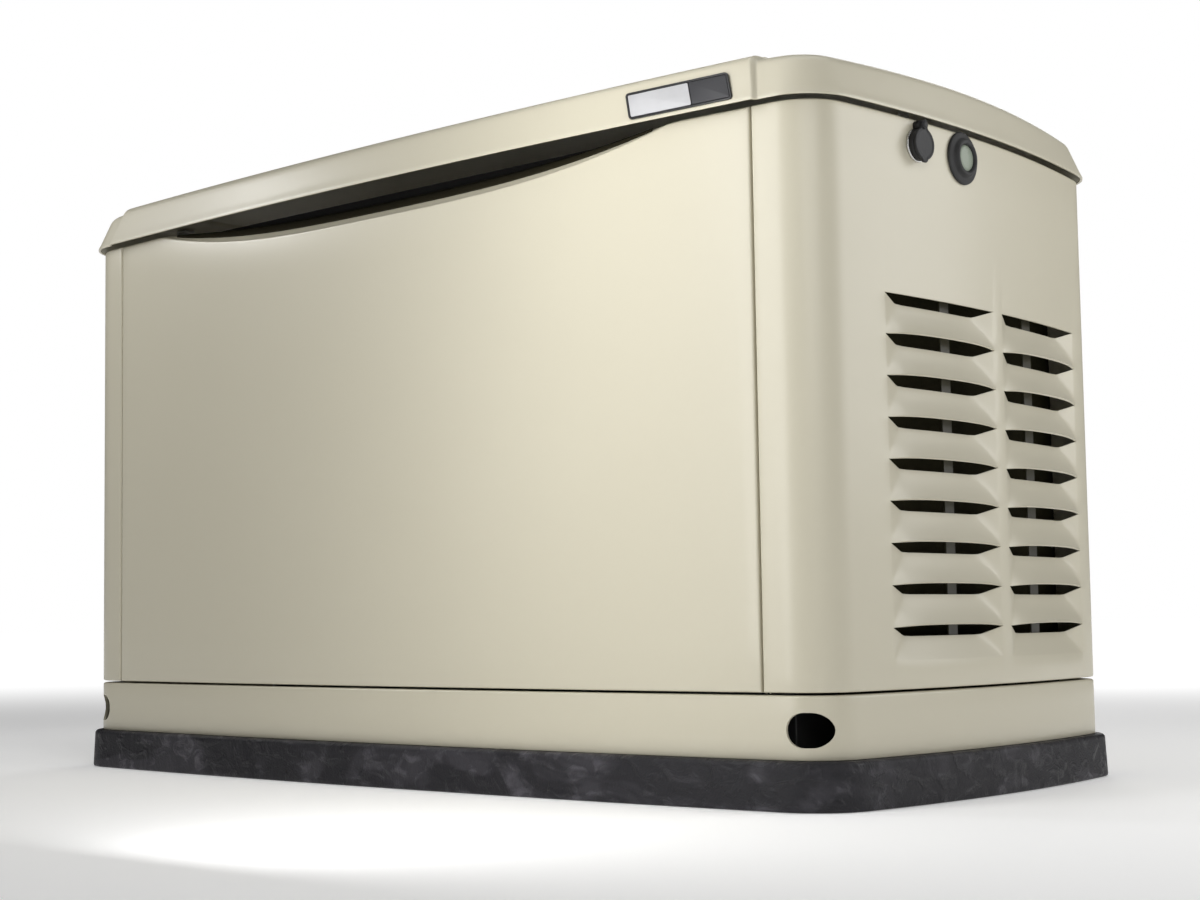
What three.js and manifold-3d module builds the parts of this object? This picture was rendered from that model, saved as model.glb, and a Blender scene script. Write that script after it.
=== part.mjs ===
// Home standby generator: a V-twin engine and alternator in a bowed sheet-steel enclosure
// with a hinged lid and a lift-off front panel, standing on a composite pad.
// Millimetres, +Z up, +X to the right end, -Y to the front. The origin is on the ground
// under the middle of the pad.

import * as THREE from 'three';
import Module from 'manifold-3d';
import { mergeVertices } from 'three/addons/utils/BufferGeometryUtils.js';

const wasm = await Module();
wasm.setup();

// ---------------------------------------------------------------- driving dimensions

// Overall
const LENGTH = 1218;            // pad, end to end
const DEPTH = 638;              // pad, front to back
const HEIGHT = 736;             // ground to the crown of the lid
const CLEARANCE = 0.3;          // between pieces that touch

// Pad
const PAD_HEIGHT = 47;
const PAD_LIP = 12.4;           // pad stands proud of the skirt all round
const PAD_ROUND = 5;            // rounded top edge
const PAD_DRAFT = 2;            // mould draft of the sides

// Plan of the enclosure
const SIDE_BOW = 22.4;          // front and back bow out by this much
const END_BOW = 24.6;
const CORNER_RADIUS = 55;
const SHEET = 2;                // wall of the panels

// Heights
const SKIRT_TOP = 108;
const SHADOW_GAP = 2.5;         // between skirt, panels and lid
const LID_LIP = 680;            // lower edge of the lid

// Base frame
const FLOOR_SHEET = 4;
const SKIRT_SHEET = 3;
const SKIRT_LEDGE = 14;         // inward return that the panels stand on
const LIFT_HOLE_X = 552;
const LIFT_HOLE_LENGTH = 48;
const LIFT_HOLE_HEIGHT = 31;
const LIFT_HOLE_RISE = 28.5;    // centre above the pad

// Panels
const SEAM_X = 505;             // joint between front or rear panel and end panel
const SEAM_RETURN = 12;         // inward flange at each seam
const SCOOP_HALF = 410;         // finger scoop along the top of the front panel
const SCOOP_DROP = 36;
const SCOOP_DEPTH = 24;
const SCOOP_RISE = 21;

// Louvres
const LOUVRE_PITCH = 40.9;
const LOUVRE_TOP = 497;         // top slit
const LOUVRE_FOOT = 137;        // the lowest blade ends above this
const LOUVRE_RECESS = 10;
const LOUVRE_LIP = 4;
const LOUVRE_SLOT = 8.5;
const LOUVRE_RAMP = 30;
const LOUVRE_COUNT = Math.floor((LOUVRE_TOP + LOUVRE_SLOT - LOUVRE_FOOT) / LOUVRE_PITCH);
const END_COLUMNS = [[-186, 11], [28, 218]];
const REAR_COLUMNS = [[-330, -130], [-100, 100], [130, 330]];
const REAR_LOUVRE_COUNT = 4;

// Lid
const LID_SHEET = 2.5;
const LID_OVERHANG = 7.5;       // at the ends and the front corners
const LID_REAR_OVERHANG = 4;
const LID_LEAN = 14;            // flange leans in by this much
const LID_ROUND = 20;           // roll from the flange into the roof
const LID_STEP = 4.5;           // raised middle above and in front of the end sections
const LID_STEP_X = 511;
const LID_JOGGLE = 6;           // width of the step
const LID_FALL = 4;             // roof falls towards front and back
const LID_CORNER_FALL = 6;

// Lid hinges
const HINGE_X = 330;
const KNUCKLE_RADIUS = 5;
const HINGE_PIN_RADIUS = 2.5;
const KNUCKLE_HALF = 15;
const HINGE_HALF = 32;
const HINGE_LEAF = 2.5;
const HINGE_LEAF_HEIGHT = 34;

// Locks and status light
const LOCK_Y = -128;
const LOCK_Z = 651;
const LOCK_BODY_RADIUS = 17;
const LOCK_BARREL_RADIUS = 11;
const LOCK_PLUG_RADIUS = 6;
const LOCK_PROUD = 8;
const LOCK_REACH = 20;          // barrel behind the wall face
const CAM_LENGTH = 30;
const CAM_WIDTH = 12;
const CAM_SHEET = 3.5;
const COVER_SHEET = 3;
const COVER_PIVOT = 19.5;
const RIVET_RADIUS = 2;
const LIGHT_Y = -46;
const LIGHT_Z = 650.5;
const LIGHT_RADIUS = 27.5;
const LENS_RADIUS = 12.5;
const LIGHT_PROUD = 9;

// Engine, measured from the crank axis
const CRANK_Z = 235;
const STATOR_GAP = 3.96;        // battery to alternator, which places the crank axis
const CRANKCASE_BACK = -60;
const CRANKCASE_LENGTH = 240;
const CRANKCASE_DEPTH = 110;    // axis down to the sump
const DECK = 105;               // axis to the cylinder deck
const DECK_HALF = 65;
const SHAFT_RADIUS = 20;
const CYLINDER_LENGTH = 90;
const CYLINDER_BORE_BLOCK = 76;
const FIN_WIDTH = 104;
const FIN_COUNT = 6;
const FIN_SHEET = 4;
const ROCKER_HEIGHT = 34;
const CYLINDER_STAGGER = 22;
const V_HALF = Math.PI / 4;
const CRANKCASE_HALF = (DECK + DECK_HALF) * Math.sin(V_HALF);

// Alternator
const STATOR_RADIUS = 105;
const STATOR_FLANGE = 4;
const STATOR_BORE = 78;
const STATOR_LENGTH = 200;
const AIR_GAP = 2;
const CARRIER_WIDTH = 24;
const BEARING_RADIUS = 26;
const BEARING_SHAFT = 12;

// Cooling fan
const FAN_RADIUS = 128;
const FAN_WIDTH = 34;
const FAN_BLADES = 12;
const BLOWER_WALL = 8;
const BLOWER_INLET = 96;

// Muffler compartment
const DIVIDER_X = -205;
const MUFFLER_X = -405;
const MUFFLER_Z = 300;
const MUFFLER_RADIUS = 98;
const MUFFLER_HALF = 185;
const PIPE_RADIUS = 17;
const PIPE_Z = 372;
const AIR_WINDOW = [90, 120];

// Battery, controls
const BATTERY = [208, 173, 190];
const BATTERY_X = 318;          // its right end stays clear of a bar through the lifting holes
const BATTERY_GAP = 7.7;        // behind the ledge of the base frame
const CONTROL_X = 300;
const CONTROL_SIZE = [215, 95, 190];
const CONTROL_FRONT = -245;
const CONTROL_Z = 440;
const BUTTON_TRAVEL = 1.5;
const BUTTON_PITCH = 32;
const BUTTON_RADIUS = 9;

// ---------------------------------------------------------------- finishes

const finish = (color, roughness, metalness) =>
  () => new THREE.MeshStandardMaterial({ color, roughness, metalness });
const beigePaint = finish(0xd3ccb8, 0.45, 0.1);
const padBlack = finish(0x2a2a2e, 0.8, 0);
const blackPaint = finish(0x151515, 0.5, 0.1);
const rubber = finish(0x1c1c1e, 0.8, 0);
const lensGlass = finish(0x8f948c, 0.25, 0);
const castAluminium = finish(0x9a9c9c, 0.5, 0.8);
const brightSteel = finish(0xb8b8b8, 0.35, 0.9);
const zincSteel = finish(0xa8a69c, 0.4, 0.8);
const darkPlastic = finish(0x202124, 0.6, 0);
const greyPlastic = finish(0x5a5d60, 0.6, 0);
const hotSteel = finish(0x8a857c, 0.55, 0.8);
const copperRed = finish(0x7d3b22, 0.5, 0.3);
const filterPaper = finish(0xd8cfa6, 0.9, 0);
const white = finish(0xdadada, 0.5, 0);
const green = finish(0x2f7d3b, 0.5, 0);
const red = finish(0xa02a22, 0.5, 0);
const blue = finish(0x24508a, 0.5, 0);

// ---------------------------------------------------------------- solids

const ROUND = 20;

function solid(geometry) {
  const bare = geometry.index ? geometry.toNonIndexed() : geometry.clone();
  for (const name of Object.keys(bare.attributes)) {
    if (name !== 'position') bare.deleteAttribute(name);
  }
  const merged = mergeVertices(bare, 1e-4);
  return new wasm.Manifold(new wasm.Mesh({
    numProp: 3,
    vertProperties: new Float32Array(merged.attributes.position.array),
    triVerts: new Uint32Array(merged.index.array),
  }));
}

function surface(shape) {
  const mesh = shape.getMesh();
  const geometry = new THREE.BufferGeometry();
  geometry.setAttribute('position', new THREE.BufferAttribute(mesh.vertProperties, 3));
  geometry.setIndex(new THREE.BufferAttribute(mesh.triVerts, 1));
  geometry.computeVertexNormals();
  return geometry;
}

function block(low, high) {
  const size = high.map((value, i) => value - low[i]);
  const middle = high.map((value, i) => (value + low[i]) / 2);
  return solid(new THREE.BoxGeometry(...size).translate(...middle));
}

// A closed mesh from a stack of rings that all have the same number of points.
function loft(rings) {
  const count = rings[0].length;
  const points = rings.flat();
  const faces = [];
  for (let level = 0; level + 1 < rings.length; level += 1) {
    for (let i = 0; i < count; i += 1) {
      const a = level * count + i;
      const b = level * count + (i + 1) % count;
      faces.push(a, b, b + count, a, b + count, a + count);
    }
  }
  for (const [ring, turn] of [[0, true], [rings.length - 1, false]]) {
    const centre = points.length;
    const sum = rings[ring].reduce((t, p) => [t[0] + p[0], t[1] + p[1], t[2] + p[2]], [0, 0, 0]);
    points.push(sum.map((value) => value / count));
    for (let i = 0; i < count; i += 1) {
      const a = ring * count + i;
      const b = ring * count + (i + 1) % count;
      faces.push(...(turn ? [centre, b, a] : [centre, a, b]));
    }
  }
  const geometry = new THREE.BufferGeometry();
  geometry.setAttribute('position', new THREE.Float32BufferAttribute(points.flat(), 3));
  geometry.setIndex(faces);
  const made = solid(geometry);
  if (made.volume() > 0) return made;
  for (let i = 0; i < faces.length; i += 3) {
    [faces[i], faces[i + 1]] = [faces[i + 1], faces[i]];
  }
  geometry.setIndex(faces);
  return solid(geometry);
}

function prism(outline, low, high, holes = []) {
  const shape = new THREE.Shape(outline.map(([x, y]) => new THREE.Vector2(x, y)));
  shape.holes = holes.map((hole) => new THREE.Path(hole.map(([x, y]) => new THREE.Vector2(x, y))));
  const options = { depth: high - low, bevelEnabled: false };
  return new THREE.ExtrudeGeometry(shape, options).translate(0, 0, low);
}

// An outline of (y, z) points pushed along X.
function prismX(outline, low, high, holes = []) {
  const geometry = prism(outline, low, high, holes);
  geometry.applyMatrix4(new THREE.Matrix4().makeBasis(
    new THREE.Vector3(0, 1, 0), new THREE.Vector3(0, 0, 1), new THREE.Vector3(1, 0, 0)));
  return geometry;
}

// A turned piece: (radius, x) points revolved round the X axis.
function turnedX(profile, segments = ROUND) {
  const points = profile.map(([radius, x]) => new THREE.Vector2(radius, x));
  const geometry = new THREE.LatheGeometry(points, segments);
  geometry.applyMatrix4(new THREE.Matrix4().makeBasis(
    new THREE.Vector3(0, 1, 0), new THREE.Vector3(1, 0, 0), new THREE.Vector3(0, 0, 1)));
  return outward(geometry);
}

function turnedZ(profile, segments = ROUND) {
  const points = profile.map(([radius, z]) => new THREE.Vector2(radius, z));
  const geometry = new THREE.LatheGeometry(points, segments);
  geometry.rotateX(Math.PI / 2);
  return outward(geometry);
}

function outward(geometry) {
  const made = solid(geometry);
  if (made.volume() > 0) return made;
  const index = geometry.index.array.slice();
  for (let i = 0; i < index.length; i += 3) {
    [index[i], index[i + 1]] = [index[i + 1], index[i]];
  }
  geometry.setIndex(new THREE.BufferAttribute(index, 1));
  return solid(geometry);
}

const rod = (radius, low, high, segments = ROUND) =>
  turnedX([[0, low], [radius, low], [radius, high], [0, high]], segments);
const post = (radius, low, high, segments = ROUND) =>
  turnedZ([[0, low], [radius, low], [radius, high], [0, high]], segments);
const ringX = (inner, outer, low, high, segments = ROUND) =>
  turnedX([[inner, low], [outer, low], [outer, high], [inner, high], [inner, low]], segments);

function circle(radius, segments, bore = 0) {
  const shape = new THREE.Shape().absarc(0, 0, radius, 0, 2 * Math.PI);
  if (bore) shape.holes.push(new THREE.Path().absarc(0, 0, bore, 0, 2 * Math.PI, true));
  return [shape, Math.ceil(segments / 2)];
}

// A pipe of round section along a smooth route.
function pipe(route, radius, steps, segments = 12, bore = 0) {
  const [shape, curveSegments] = circle(radius, segments, bore);
  const curve = new THREE.CatmullRomCurve3(route.map((p) => new THREE.Vector3(...p)));
  const options = { steps, extrudePath: curve, curveSegments, bevelEnabled: false };
  return outwardPipe(new THREE.ExtrudeGeometry(shape, options));
}

function outwardPipe(geometry) {
  const made = solid(geometry);
  if (made.volume() > 0) return made;
  const places = geometry.attributes.position;
  const flipped = new Float32Array(places.array.length);
  for (let i = 0; i < places.count; i += 3) {
    for (const [to, from] of [[0, 0], [1, 2], [2, 1]]) {
      flipped.set(places.array.subarray((i + from) * 3, (i + from) * 3 + 3), (i + to) * 3);
    }
  }
  geometry.setAttribute('position', new THREE.BufferAttribute(flipped, 3));
  return solid(geometry);
}

const group = new THREE.Group();

function piece(name, shape, material, parent = group) {
  const mesh = new THREE.Mesh(surface(shape), material());
  mesh.name = name;
  parent.add(mesh);
  return mesh;
}

function place(x, y, z, turn = 0) {
  const spot = new THREE.Group();
  spot.position.set(x, y, z);
  spot.rotation.z = turn;
  group.add(spot);
  return spot;
}

// ---------------------------------------------------------------- plan of the walls

const WALL_LENGTH = LENGTH / 2 - PAD_LIP;
const WALL_DEPTH = DEPTH / 2 - PAD_LIP;
const bowRadius = (half, bow) => (half ** 2 + bow ** 2) / (2 * bow);
const SIDE_RADIUS = bowRadius(WALL_LENGTH - END_BOW, SIDE_BOW);
const END_RADIUS = bowRadius(WALL_DEPTH - SIDE_BOW, END_BOW);
const SIDE_CENTRE = SIDE_RADIUS - WALL_DEPTH;
const END_CENTRE = END_RADIUS - WALL_LENGTH;

// Distance of the front or rear face from the middle at x, and of the end face at y.
const sideFace = (x, inset = 0) => Math.sqrt((SIDE_RADIUS - inset) ** 2 - x ** 2) - SIDE_CENTRE;
const endFace = (y, inset = 0) => Math.sqrt((END_RADIUS - inset) ** 2 - y ** 2) - END_CENTRE;

// Centre of the corner arc that touches both bows: where two circles meet.
const cornerCentre = (() => {
  const side = SIDE_RADIUS - CORNER_RADIUS;
  const end = END_RADIUS - CORNER_RADIUS;
  const apart = Math.hypot(END_CENTRE, SIDE_CENTRE);
  const along = (side ** 2 - end ** 2 + apart ** 2) / (2 * apart);
  const across = Math.sqrt(side ** 2 - along ** 2);
  const ux = -END_CENTRE / apart;
  const uy = SIDE_CENTRE / apart;
  return [along * ux + across * uy, -SIDE_CENTRE + along * uy - across * ux];
})();

function arc(cx, cy, radius, from, to, count) {
  return Array.from({ length: count + 1 }, (_, i) => {
    const angle = from + (to - from) * i / count;
    return [cx + radius * Math.cos(angle), cy + radius * Math.sin(angle)];
  });
}

const SIDE_STEPS = 8;
const CORNER_STEPS = 4;
const END_STEPS = 8;

// Closed plan outline of the walls moved in by `inset`, anticlockwise from the front middle.
function wallOutline(inset) {
  const [cx, cy] = cornerCentre;
  const sideAngle = Math.atan2(cy + SIDE_CENTRE, cx);
  const endAngle = Math.atan2(cy, cx + END_CENTRE);
  const quarter = [
    ...arc(-END_CENTRE, 0, END_RADIUS - inset, 0, endAngle, END_STEPS / 2),
    ...arc(cx, cy, CORNER_RADIUS - inset, endAngle, sideAngle, CORNER_STEPS).slice(1),
    ...arc(0, -SIDE_CENTRE, SIDE_RADIUS - inset, sideAngle, Math.PI / 2, SIDE_STEPS / 2).slice(1),
  ];
  const back = [...quarter].reverse();
  return [
    ...back.map(([x, y]) => [x, -y]),
    ...quarter.slice(1),
    ...back.slice(1).map(([x, y]) => [-x, y]),
    ...quarter.slice(1, -1).map(([x, y]) => [-x, -y]),
  ];
}

const level = (outline, z) => outline.map(([x, y]) => [x, y, z]);

// The stretch of the outline to the right of the seam, from the front seam to the rear one.
function endWrap(inset, seam) {
  const inside = wallOutline(inset).filter(([x]) => x > seam + 1);
  const y = sideFace(seam, inset);
  return [[seam, -y], ...inside, [seam, y]];
}

// The stretch of the side face between two seams, from left to right, as (x, distance).
function sideRun(inset, half, steps = SIDE_STEPS) {
  return Array.from({ length: steps + 1 }, (_, i) => {
    const x = -half + 2 * half * i / steps;
    return [x, sideFace(x, inset)];
  });
}

// ---------------------------------------------------------------- pad and base frame

const SKIRT_BOTTOM = PAD_HEIGHT + CLEARANCE;
const FLOOR = SKIRT_BOTTOM + FLOOR_SHEET;
const PANEL_BOTTOM = SKIRT_TOP + SHADOW_GAP;
const PANEL_TOP = LID_LIP - SHADOW_GAP;

piece('base_pad', loft([
  level(wallOutline(-PAD_LIP), 0),
  level(wallOutline(PAD_DRAFT - PAD_LIP), PAD_HEIGHT - PAD_ROUND),
  level(wallOutline(PAD_DRAFT + PAD_ROUND * 0.3 - PAD_LIP), PAD_HEIGHT - PAD_ROUND * 0.3),
  level(wallOutline(PAD_DRAFT + PAD_ROUND - PAD_LIP), PAD_HEIGHT),
]), padBlack);

function baseFrame() {
  const hollow = loft([
    level(wallOutline(SKIRT_SHEET), FLOOR),
    level(wallOutline(SKIRT_SHEET), SKIRT_TOP - SKIRT_SHEET),
  ]);
  const mouth = loft([
    level(wallOutline(SKIRT_LEDGE), FLOOR + 1),
    level(wallOutline(SKIRT_LEDGE), SKIRT_TOP + 1),
  ]);
  let frame = loft([level(wallOutline(0), SKIRT_BOTTOM), level(wallOutline(0), SKIRT_TOP)]);
  frame = frame.subtract(hollow).subtract(mouth);
  const straight = (LIFT_HOLE_LENGTH - LIFT_HOLE_HEIGHT) / 2;
  const bore = LIFT_HOLE_HEIGHT / 2;
  const slot = [
    ...arc(straight, 0, bore, -Math.PI / 2, Math.PI / 2, 10),
    ...arc(-straight, 0, bore, Math.PI / 2, 3 * Math.PI / 2, 10),
  ];
  for (const side of [-1, 1]) {
    for (const end of [-1, 1]) {
      const drill = prism(slot, -3 * SKIRT_LEDGE, 3 * SKIRT_LEDGE);
      drill.rotateX(Math.PI / 2);
      drill.translate(end * LIFT_HOLE_X, side * sideFace(LIFT_HOLE_X), PAD_HEIGHT + LIFT_HOLE_RISE);
      frame = frame.subtract(solid(drill));
    }
  }
  return frame;
}

piece('base_frame', baseFrame(), beigePaint);

// ---------------------------------------------------------------- louvred panels

// One pressed blade: the upper edge is pushed in behind the slit above it and the lower
// lip stands out, with a three-sided ramp at each end. `spot(u, out)` gives the plan point
// at u along the wall, `out` in front of its face.
function louvre(spot, from, to, top, bottom, lip) {
  const rows = [
    [[from - 1, -CLEARANCE, top], [from + LOUVRE_RAMP, -LOUVRE_RECESS, top - LOUVRE_SLOT],
      [to - LOUVRE_RAMP, -LOUVRE_RECESS, top - LOUVRE_SLOT], [to + 1, -CLEARANCE, top]],
    [[from - 1, -CLEARANCE, bottom], [from + LOUVRE_RAMP, lip, bottom],
      [to - LOUVRE_RAMP, lip, bottom], [to + 1, -CLEARANCE, bottom]],
  ];
  const deep = SHEET - 2 * CLEARANCE;
  const sections = rows.map((row) => [
    ...row.map(([u, out, z]) => [...spot(u, out), z]),
    ...[...row].reverse().map(([u, out, z]) => [...spot(u, out - deep), z]),
  ]);
  return bladeSolid(sections);
}

// The blade's section is a bent strip, so its two caps are cut into quads, not fanned.
function bladeSolid([upper, lower]) {
  const points = [...upper, ...lower];
  const count = upper.length;
  const faces = [];
  for (let i = 0; i < count; i += 1) {
    const next = (i + 1) % count;
    faces.push(i, next, next + count, i, next + count, i + count);
  }
  for (let i = 0; i < count / 2 - 1; i += 1) {
    const far = count - 1 - i;
    faces.push(i, far, far - 1, i, far - 1, i + 1);
    faces.push(i + count, i + 1 + count, far - 1 + count, i + count, far - 1 + count, far + count);
  }
  const geometry = new THREE.BufferGeometry();
  geometry.setAttribute('position', new THREE.Float32BufferAttribute(points.flat(), 3));
  geometry.setIndex(faces);
  return outward(geometry);
}

function louvreColumn(panel, spot, from, to, count, cutter) {
  const foot = LOUVRE_TOP - count * LOUVRE_PITCH + LOUVRE_SLOT;
  let made = panel.subtract(cutter(from, to, foot, LOUVRE_TOP));
  for (let i = 0; i < count; i += 1) {
    const top = LOUVRE_TOP - i * LOUVRE_PITCH;
    const last = i === count - 1;
    const bottom = last ? foot - 1 : top - LOUVRE_PITCH;
    made = made.add(louvre(spot, from, to, top, bottom, last ? -CLEARANCE : LOUVRE_LIP));
  }
  return made;
}

const seamFlange = (x, sign, toward) => {
  const y = sideFace(x, SHEET / 2);
  const low = [Math.min(x, x + toward * SHEET), sign > 0 ? y - SEAM_RETURN : -y, PANEL_BOTTOM];
  const high = [Math.max(x, x + toward * SHEET), sign > 0 ? y : -y + SEAM_RETURN, PANEL_TOP];
  return block(low, high);
};

function endPanel(side, light) {
  const outline = [...endWrap(0, SEAM_X), ...endWrap(SHEET, SEAM_X).reverse()];
  let panel = solid(prism(outline, PANEL_BOTTOM, PANEL_TOP));
  for (const sign of [-1, 1]) panel = panel.add(seamFlange(SEAM_X, sign, 1));
  const spot = (y, out) => [endFace(y, -out), y];
  const cutter = (from, to, low, high) =>
    block([WALL_LENGTH - END_BOW - SHEET, from, low], [LENGTH / 2 + 1, to, high]);
  for (const [from, to] of END_COLUMNS) {
    panel = louvreColumn(panel, spot, from, to, LOUVRE_COUNT, cutter);
  }
  panel = panel.subtract(wallBore(LOCK_Y, LOCK_Z, LOCK_BARREL_RADIUS + 2 * CLEARANCE));
  if (light) panel = panel.subtract(wallBore(LIGHT_Y, LIGHT_Z, LENS_RADIUS + 2));
  return side > 0 ? panel : panel.mirror([1, 0, 0]);
}

const endTurn = (y) => Math.asin(y / END_RADIUS);

function wallBore(y, z, radius) {
  const drill = surface(rod(radius, -SHEET * 4, SHEET * 4, 24));
  drill.rotateZ(endTurn(y));
  drill.translate(endFace(y), y, z);
  return solid(drill);
}

piece('right_end_panel', endPanel(1, true), beigePaint);
piece('left_end_panel', endPanel(-1, false), beigePaint);

const FUEL_X = 440;
const FUEL_Z = 150;
const FUEL_RADIUS = 13.5;

function rearPanel() {
  const half = SEAM_X - SHADOW_GAP;
  const outline = [...sideRun(SHEET, half), ...sideRun(0, half).reverse()];
  let panel = solid(prism(outline, PANEL_BOTTOM, PANEL_TOP));
  for (const end of [-1, 1]) panel = panel.add(seamFlange(end * half, 1, -end));
  const spot = (x, out) => [x, sideFace(x, -out)];
  const cutter = (from, to, low, high) =>
    block([from, WALL_DEPTH - SIDE_BOW - SHEET, low], [to, DEPTH / 2, high]);
  for (const [from, to] of REAR_COLUMNS) {
    panel = louvreColumn(panel, spot, from, to, REAR_LOUVRE_COUNT, cutter);
  }
  const drill = surface(post(FUEL_RADIUS + 3, -SHEET * 8, SHEET * 8, 24));
  drill.rotateX(Math.PI / 2);
  drill.translate(FUEL_X, sideFace(FUEL_X), FUEL_Z);
  return panel.subtract(solid(drill));
}

piece('rear_panel', rearPanel(), beigePaint);

// ---------------------------------------------------------------- front panel

// The scoop's lower edge: flat in the middle, rising steeply to the panel's top at its ends.
const scoopEdge = (x) =>
  PANEL_TOP - SCOOP_DROP * Math.max(0, 1 - Math.abs(x / SCOOP_HALF) ** 3);
const scoopDepth = (x) => 2 * SHEET + SCOOP_DEPTH * Math.max(0, 1 - (x / SCOOP_HALF) ** 2);
const scoopRise = (x) => SCOOP_RISE * Math.max(0, 1 - Math.abs(x / SCOOP_HALF) ** 3);

function frontPanel() {
  const half = SEAM_X - SHADOW_GAP;
  const outline = [...sideRun(0, half), ...sideRun(SHEET, half).reverse()];
  let panel = solid(prism(outline.map(([x, y]) => [x, -y]), PANEL_BOTTOM, PANEL_TOP));
  for (const end of [-1, 1]) panel = panel.add(seamFlange(end * half, -1, -end));
  const steps = 18;
  const run = Array.from({ length: steps + 1 }, (_, i) => SCOOP_HALF * (2 * i / steps - 1));
  const smile = [
    ...run.map((x) => [x, scoopEdge(x)]),
    [SCOOP_HALF, PANEL_TOP + 5],
    [-SCOOP_HALF, PANEL_TOP + 5],
  ];
  const cut = prism(smile, 0, DEPTH / 2);
  cut.rotateX(Math.PI / 2);
  panel = panel.subtract(solid(cut));
  const sections = run.map((x) => {
    const inset = CLEARANCE / 2;
    const front = -sideFace(x, inset);
    const low = scoopEdge(x) - SHEET;
    const back = front + scoopDepth(x);
    const high = scoopEdge(x) + scoopRise(x) - CLEARANCE;
    return [[x, front, low], [x, front, low + SHEET / 2], [x, back, high],
      [x, back, high - SHEET], [x, front + SHEET - 2 * inset, low]];
  });
  return panel.add(loft(sections));
}

piece('front_panel', frontPanel(), beigePaint);

const RAIL_FRONT = -(WALL_DEPTH - SCOOP_DEPTH - 4 * SHEET) + 2;
const RAIL_HALF = SEAM_X - SHADOW_GAP - SHEET - 2;
const RAIL_BOTTOM = PANEL_TOP - SCOOP_DROP - 6;
piece('front_header_rail', block(
  [-RAIL_HALF, RAIL_FRONT, RAIL_BOTTOM],
  [RAIL_HALF, RAIL_FRONT + 20, PANEL_TOP - 3]), blackPaint);

// ---------------------------------------------------------------- lid

// Height of the roof: it falls to front and back, and the end sections fall to their corners.
function roof(x, y, raised) {
  const across = (y / WALL_DEPTH) ** 2;
  const middle = HEIGHT - LID_FALL * across;
  if (raised) return middle;
  const beyond = Math.max(0, Math.abs(x) - LID_STEP_X) / (WALL_LENGTH - LID_STEP_X);
  return middle - LID_STEP - LID_CORNER_FALL * across * beyond;
}

// Lean of the flange and roll into the roof, as (move in, drop below the roof) steps.
const ROLL = [[0, 12], [0.25, 5.2], [0.6, 1.6], [1.2, 0.3]].map(([part, drop]) =>
  [LID_LEAN + LID_ROUND * part, drop]);

// Widens the plan outline by the overhang, which is smaller along the back.
function lidOutline(inset) {
  const outer = wallOutline(inset - LID_OVERHANG);
  const rear = WALL_DEPTH - SIDE_BOW - CORNER_RADIUS;
  return outer.map(([x, y]) => {
    const part = Math.min(1, Math.max(0, (y - rear) / CORNER_RADIUS));
    return [x, y - (LID_OVERHANG - LID_REAR_OVERHANG) * part];
  });
}

function lidBody(sheet, drop) {
  const start = LID_LIP - (sheet ? 10 : 0);
  const lean = sheet ? -LID_LEAN * 10 / (HEIGHT - LID_STEP - 12 - LID_LIP) : 0;
  const rings = [level(lidOutline(sheet + lean), start)];
  for (const [inset, below] of ROLL) {
    rings.push(lidOutline(inset + sheet).map(([x, y]) => [x, y, roof(x, y, false) - below - drop]));
  }
  const crown = lidOutline(LID_LEAN + LID_ROUND * 1.2 + sheet);
  for (const part of [0.85, 0.6, 0.3]) {
    rings.push(crown.map(([x, y]) => {
      const [px, py] = [x * part, y * part];
      return [px, py, roof(px, py, false) - drop];
    }));
  }
  return loft(rings);
}

// The raised middle, as sections along X. Its front flange stands forward of the ends'.
function lidBand(sheet, drop) {
  const edge = LID_STEP_X - sheet;
  const xs = [-edge, -edge + LID_JOGGLE];
  const steps = 8;
  for (let i = 1; i < steps; i += 1) xs.push((edge - LID_JOGGLE) * (2 * i / steps - 1));
  xs.push(edge - LID_JOGGLE, edge);
  const start = LID_LIP - (sheet ? 10 : 0);
  const lean = sheet ? -LID_LEAN * 10 / (HEIGHT - 12 - LID_LIP) : 0;
  return loft(xs.map((x, i) => {
    const outer = i === 0 || i === xs.length - 1;
    const proud = outer ? 0 : LID_STEP;
    const front = -sideFace(x) - LID_OVERHANG - proud + sheet;
    const back = sideFace(x) + LID_REAR_OVERHANG - sheet;
    const height = (y) => roof(0, y, true) - drop - (outer ? LID_STEP : 0);
    const inner = LID_STEP + 8;
    const row = [[front + lean, start]];
    for (const [inset, below] of ROLL) row.push([front + inset, height(front + inset) - below]);
    for (const y of [-170, 0, 170]) row.push([y, height(y)]);
    for (const [inset, below] of [...ROLL].reverse()) {
      row.push([back - inset, height(back - inset) - below]);
    }
    row.push([back - lean, start]);
    row.push([back - inner, start], [front + inner, start]);
    return row.map(([y, z]) => [x, y, z]);
  }));
}

function lidShell() {
  const outside = lidBody(0, 0).add(lidBand(0, 0));
  const inside = lidBody(LID_SHEET, LID_SHEET).add(lidBand(LID_SHEET, LID_SHEET));
  return outside.subtract(inside);
}

piece('lid', lidShell(), beigePaint);

// Blank nameplate on the front flange, leaning back with it.
const PLATE_X = [366, 490];
const PLATE_Z = [LID_LIP + 6, LID_LIP + 31];
const PLATE_SHEET = 2;
const PLATE_SLANT = 11;
const FLANGE_SLOPE = LID_LEAN / (HEIGHT - 12 - LID_LIP);

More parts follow.
